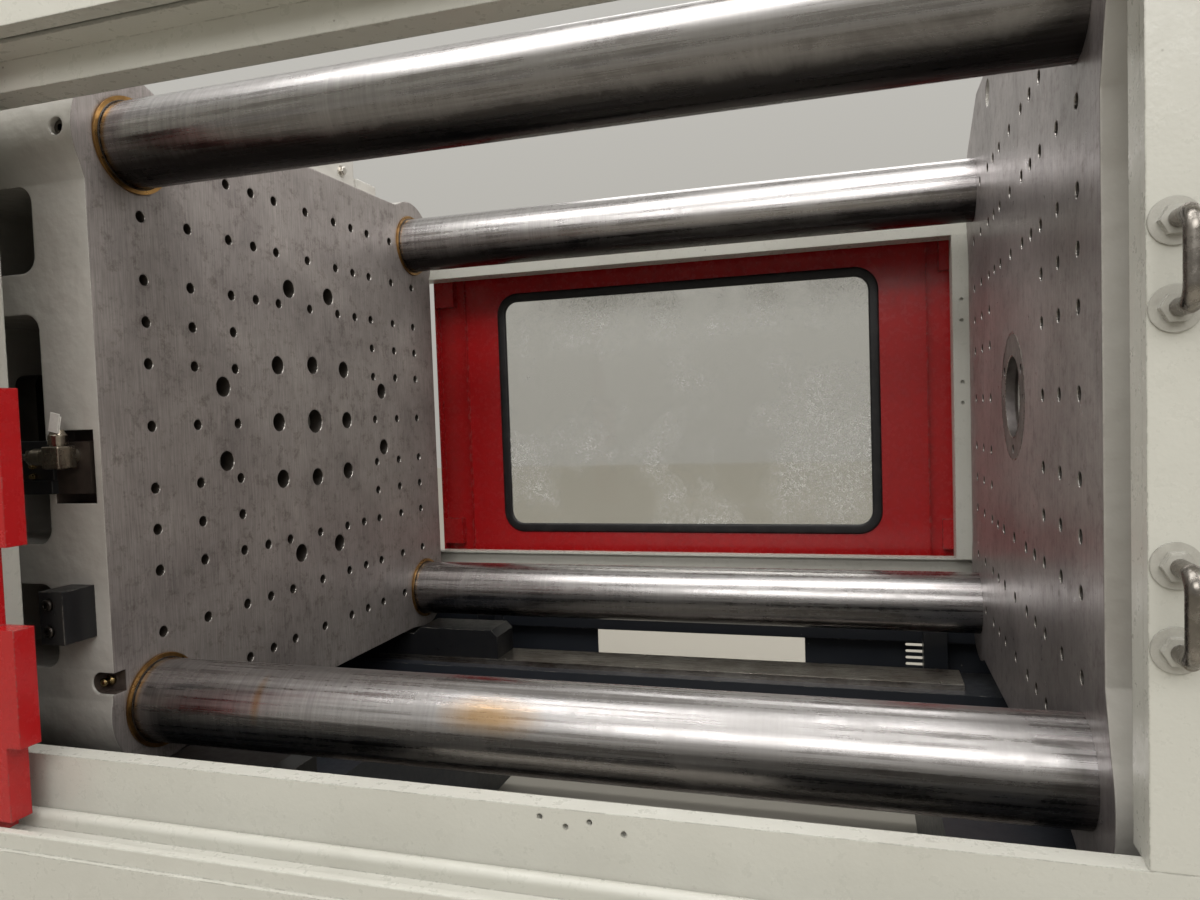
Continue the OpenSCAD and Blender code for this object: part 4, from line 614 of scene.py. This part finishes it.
def moulded(name, colour, low=0.22, high=0.45):
    """Moulded plastic, slightly rubbed."""
    fresh = linear(colour)
    rubbed_dull = [c * 0.75 for c in fresh[:3]] + [1]
    return mottled(name, 120, 4, fresh, rubbed_dull, low, high, IOR=1.49)


def plate(low, high, bevel=0.002, segments=2):
    """A block between two corners with softened edges."""
    low, high = Vector(low), Vector(high)
    made = bmesh.new()
    fill = Matrix.Translation((low + high) / 2) @ Matrix.Diagonal([*(high - low), 1])
    bmesh.ops.create_cube(made, size=1, matrix=fill)
    bmesh.ops.bevel(made, geom=made.edges[:], offset=bevel, affect="EDGES", segments=segments,
        profile=0.5, material=-1)
    bmesh.ops.recalc_face_normals(made, faces=made.faces)
    return made


moulded_black = moulded("moulded_black", "#1b1b1d")
upper_collar = [(0, 0.0), (0, 0.0165), (0.004, 0.0165), (0.004, 0.0205), (0.024, 0.0205),
    (0.026, 0.018), (0.031, 0.0145), (0.037, 0.013), (0.037, 0.0)]
arm_collar = [(0, 0.0), (0, 0.0225), (0.013, 0.0225), (0.013, 0.0)]
arm_nut = [(0, 0.0), (0, 0.0195), (0.014, 0.0195), (0.014, 0.0)]
elbow = [
    plate(at(-2136, -874, -90), at(-2086, -824, -38), 0.004, 3),
    turned(upper_collar, 28, at(-2110, -851, -38), (0, 0, 1)),
    turned(arm_collar, 26, at(-2134, -851, -62), (-1, 0, 0)),
    turned(arm_nut, 6, at(-2178, -851, -62), (-1, 0, 0), 0.4),
]
piece("connector_elbow", gather(elbow), nickel, "platen", smooth=False)
terminals = [plate(at(-2306, -832, -150), at(-2158, -792, -118)),
    plate(at(-2306, -832, -48), at(-2158, -792, -26)),
    plate(at(-2306, -824, -122), at(-2160, -792, -44))]
piece("terminal_block", gather(terminals), moulded_black, "platen", smooth=False)
ends = [turned([(0, 0.0), (0, 0.0078), (0.006, 0.0078), (0.007, 0.0055), (0.012, 0.0055),
    (0.012, 0.0)], 6, at(x, -824, z), (0, -1, 0), 0.3) for x in (-2292, -2262, -2216)
    for z in (-108, -84, -60)]
piece("terminal_ends", gather(ends), brass, "platen", smooth=False)
sleeve_white = moulded("white_sleeve", "#dcdad4", 0.35, 0.6)
tag = gather([plate(at(-2122, -866, -6), at(-2096, -864.6, 38), 0.0004, 1),
    plate(at(-2119, -863.8, -6), at(-2093, -862.4, 33), 0.0004, 1)])
bmesh.ops.rotate(tag, cent=at(-2110, -867, -14), matrix=Matrix.Rotation(math.radians(14), 3, "Y"),
    verts=tag.verts)
piece("marker_sleeve", tag, sleeve_white, "platen", smooth=False)

# Sensor cable: a round black PVC cable of 16 mm, from the connector's arm along
# the platen's side into a gland on the casting.
jacket = mottled("black_cable_pvc", 45, 4, linear("#0f0f10"), linear("#2e2c2b"), 0.25, 0.5,
    Specular_IOR_Level=0.45)
route = [(-2194, -851, -62), (-2215, -851, -62), (-2240, -852, -65), (-2275, -856, -74),
    (-2320, -858, -86), (-2370, -856, -96), (-2420, -850, -100), (-2460, -840, -93),
    (-2495, -831, -78), (-2518, -827, -70), (-2538, -827, -70)]
line = bpy.data.curves.new("sensor_line", "CURVE")
line.dimensions = "3D"
line.bevel_depth = 0.008
line.bevel_resolution = 4
line.resolution_u = 6
line.use_fill_caps = True
path = line.splines.new("NURBS")
halfway = [(Vector(a) + Vector(b)) / 2 for a, b in zip(route, route[1:])]
run = [place for pair in zip(route, halfway) for place in pair] + [route[-1]]
path.points.add(len(run) - 1)
for point, place in zip(path.points, run):
    point.co = (*at(*place), 1)
path.order_u = 3
path.use_endpoint_u = True
line.materials.append(jacket)
cable = bpy.data.objects.new("sensor_line", line)
bpy.context.collection.objects.link(cable)
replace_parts(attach(cable, "platen"), "sensor_cable")

# Gates: folded sheet in signal red gloss enamel, with blocks at the corners of
# the window frame.
gate_red = enamel("enamel_signal_red", "#9f1518", bare="#43120f", roughness=0.24, wear=0.45,
    grime=0.35, peel=0.25)
dress(gate_red, "front_gate_panel", "rear_gate_panel", "purge_guard", "front_gate_handle",
    "rear_gate_handle")

# Glazing strip: an extruded black rubber bead all round each window, its two
# lips round and slightly dusty.
strip_rubber, strip_shader = finish_named("black_glazing_rubber", Specular_IOR_Level=0.4)
strip_place = node(strip_rubber, "TexCoord").outputs["Object"]
dust = node(strip_rubber, "TexNoise", {"Vector": strip_place, "Scale": 22, "Detail": 5,
    "Roughness": 0.7})
dusted = node(strip_rubber, "MapRange", {"Value": dust.outputs["Fac"], "From Min": 0.5,
    "From Max": 0.8, "To Max": 0.35})
strip_tone = node(strip_rubber, "Mix", {0: dusted.outputs["Result"], 6: linear("#141315"),
    7: linear("#4b4846")}, data_type="RGBA")
strip_gloss = node(strip_rubber, "MapRange",
    {"Value": dust.outputs["Fac"], "To Min": 0.28, "To Max": 0.6})
node(strip_rubber, strip_shader, {"Base Color": strip_tone.outputs[2],
    "Roughness": strip_gloss.outputs["Result"]})
for gate in ("front_gate", "rear_gate"):
    low, high = (Vector(c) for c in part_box(gate + "_gasket"))
    strip = bmesh.new()
    bmesh.ops.create_grid(strip, x_segments=1, y_segments=1, size=0.5)
    bmesh.ops.scale(strip, vec=(high.x - low.x, high.z - low.z, 1), verts=strip.verts)
    bmesh.ops.bevel(strip, geom=strip.verts[:], offset=0.091, affect="VERTICES", segments=9,
        profile=0.5, material=-1)
    ring = bmesh.ops.inset_region(strip, faces=strip.faces[:], thickness=0.038,
        use_even_offset=True, use_boundary=True)["faces"]
    bmesh.ops.delete(strip, geom=[f for f in strip.faces if f not in ring], context="FACES")
    walls = bmesh.ops.extrude_face_region(strip, geom=strip.faces[:])["geom"]
    bmesh.ops.translate(strip, vec=(0, 0, high.y - low.y),
        verts=[g for g in walls if isinstance(g, bmesh.types.BMVert)])
    bmesh.ops.recalc_face_normals(strip, faces=strip.faces)
    long_edges = [e for e in strip.edges if e.calc_face_angle(0) > 1.0]
    bmesh.ops.bevel(strip, geom=long_edges, offset=0.0078, affect="EDGES", segments=4, profile=0.5,
        material=-1)
    middle = ((low.x + high.x) / 2, high.y, (low.z + high.z) / 2)
    upright = Matrix.Translation(middle) @ Matrix.Rotation(math.pi / 2, 4, "X")
    bmesh.ops.transform(strip, matrix=upright, verts=strip.verts)
    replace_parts(piece(gate + "_strip", strip, strip_rubber, gate), gate + "_gasket")

# Gate windows: clear polycarbonate sheet held by the strip. Years of wiping
# have left fine scratches, and spray has left clouds of pale specks.
pane, pane_shader = finish_named("scuffed_polycarbonate", IOR=1.3)
pane_place = node(pane, "TexCoord").outputs["Object"]
haze = node(pane, "TexNoise", {"Vector": pane_place, "Scale": 2.6, "Detail": 5, "Roughness": 0.6})
drop = node(pane, "TexVoronoi", {"Vector": pane_place, "Scale": 230, "Randomness": 1})
fine = node(pane, "TexNoise", {"Vector": pane_place, "Scale": 60, "Detail": 4})
close = node(pane, "MapRange", {"Value": drop.outputs["Distance"], "From Min": 0.42,
    "From Max": 0.3})
pane_x = node(pane, "SeparateXYZ", {"Vector": pane_place}).outputs["X"]
more = node(pane, "MapRange", {"Value": pane_x, "From Min": -1.7, "From Max": -0.6, "To Min": -0.03,
    "To Max": 0.09})
cloudy = node(pane, "Math", {0: haze.outputs["Fac"], 1: more.outputs["Result"]}, operation="ADD")
where = node(pane, "MapRange", {"Value": cloudy.outputs["Value"], "From Min": 0.47,
    "From Max": 0.64})
often = node(pane, "MapRange", {"Value": fine.outputs["Fac"], "From Min": 0.4, "From Max": 0.52})
some = node(pane, "Math", {0: where.outputs["Result"], 1: often.outputs["Result"]},
    operation="MULTIPLY")
fleck = node(pane, "Math", {0: close.outputs["Result"], 1: some.outputs["Value"]},
    operation="MULTIPLY")
veil = node(pane, "MapRange", {"Value": where.outputs["Result"], "To Max": 0.2})
cover = node(pane, "Math", {0: fleck.outputs["Value"], 1: veil.outputs["Result"]},
    operation="MAXIMUM")
pane_clear = node(pane, "MapRange", {"Value": cover.outputs["Value"], "To Min": 0.97,
    "To Max": 0.1})
pane_gloss = node(pane, "MapRange", {"Value": fine.outputs["Fac"], "From Min": 0.35,
    "From Max": 0.7, "To Min": 0.03, "To Max": 0.1})
pane_tone = node(pane, "Mix", {0: fleck.outputs["Value"], 6: linear("#e4e4e0"),
    7: linear("#f6f5f2")}, data_type="RGBA")
node(pane, pane_shader, {"Base Color": pane_tone.outputs[2],
    "Transmission Weight": pane_clear.outputs["Result"], "Roughness": pane_gloss.outputs["Result"]})
dress(pane, "front_gate_window", "rear_gate_window")

# Grab handles beside the doorway: bent bars, rubbed to dark bright metal, on
# flanges and nuts in the covers' grey, chipped by spanners.
handle_paint, handle_shader = finish_named("rubbed_bar_on_grey_flange")
handle_place = node(handle_paint, "TexCoord").outputs["Object"]
reach = node(handle_paint, "SeparateXYZ", {"Vector": handle_place}).outputs["Y"]
palm = node(handle_paint, "TexNoise", {"Vector": handle_place, "Scale": 45, "Detail": 5,
    "Roughness": 0.7})
held = node(handle_paint, "MapRange", {"Value": reach, "From Min": -1.033,
    "From Max": -1.035}).outputs["Result"]
wash = node(handle_paint, "Mix", {0: palm.outputs["Fac"], 6: linear("#b9b8b0"),
    7: linear("#85817a")}, data_type="RGBA")
grip = node(handle_paint, "Mix", {0: palm.outputs["Fac"], 6: linear("#4b4742"),
    7: linear("#a8a29b")}, data_type="RGBA")
handle_tone = node(handle_paint, "Mix", {0: held, 6: wash.outputs[2], 7: grip.outputs[2]},
    data_type="RGBA")
handle_gloss = node(handle_paint, "MapRange",
    {"Value": palm.outputs["Fac"], "From Min": 0.3, "From Max": 0.7, "To Min": 0.15,
    "To Max": 0.36})
handle_edge = node(handle_paint, "Bevel", {"Radius": 0.003}, samples=2)
node(handle_paint, handle_shader, {"Base Color": handle_tone.outputs[2],
    "Roughness": handle_gloss.outputs["Result"], "Metallic": held,
    "Normal": handle_edge.outputs["Normal"]})
dress(handle_paint, "grab_handles")

# Injection end: the barrel is steel, tinted by heat, in clamped stainless
# heater bands. The hopper is folded stainless sheet.
dress(machined("heat_tinted_barrel", "#7f7973", "#4d4440", 0.38), "injection_barrel")
dress(machined("brushed_stainless", "#c2c0ba", "#a3a099", 0.28, (1, 1, 12)), "hopper", "hopper_lid",
    "heater_bands")

# Motors of the pump and of the screw drive: cast housings in a blue enamel,
# with a coarser skin than the sheet covers.
motor_blue = enamel("enamel_motor_blue", "#2d5f86", roughness=0.4, wear=0.4, grime=0.4, peel=0.5)
dress(motor_blue, "pump_motor", "screw_motor")

# Control panel: folded steel in dark grey enamel, with a dark glass screen in
# its recess and moulded push buttons below it.
panel_grey = enamel("enamel_dark_grey", "#3c4046", roughness=0.4, wear=0.3, grime=0.2)
dress(panel_grey, "control_panel")
screen_glass = mottled("dark_screen_glass", 26, 4, linear("#0c1116"), linear("#1b2229"), 0.05, 0.2,
    span=(0.4, 0.7), IOR=1.52)
piece("screen", plate(at(880, -1141, 106), at(1208, -1138.2, 404), 0.001), screen_glass,
    "control_panel", smooth=False)
dress(moulded("moulded_red", "#b51a1a"), "emergency_stop")
dress(moulded("moulded_green", "#2a7a3e"), "start_button")
dress(moulded_black, "stop_button")
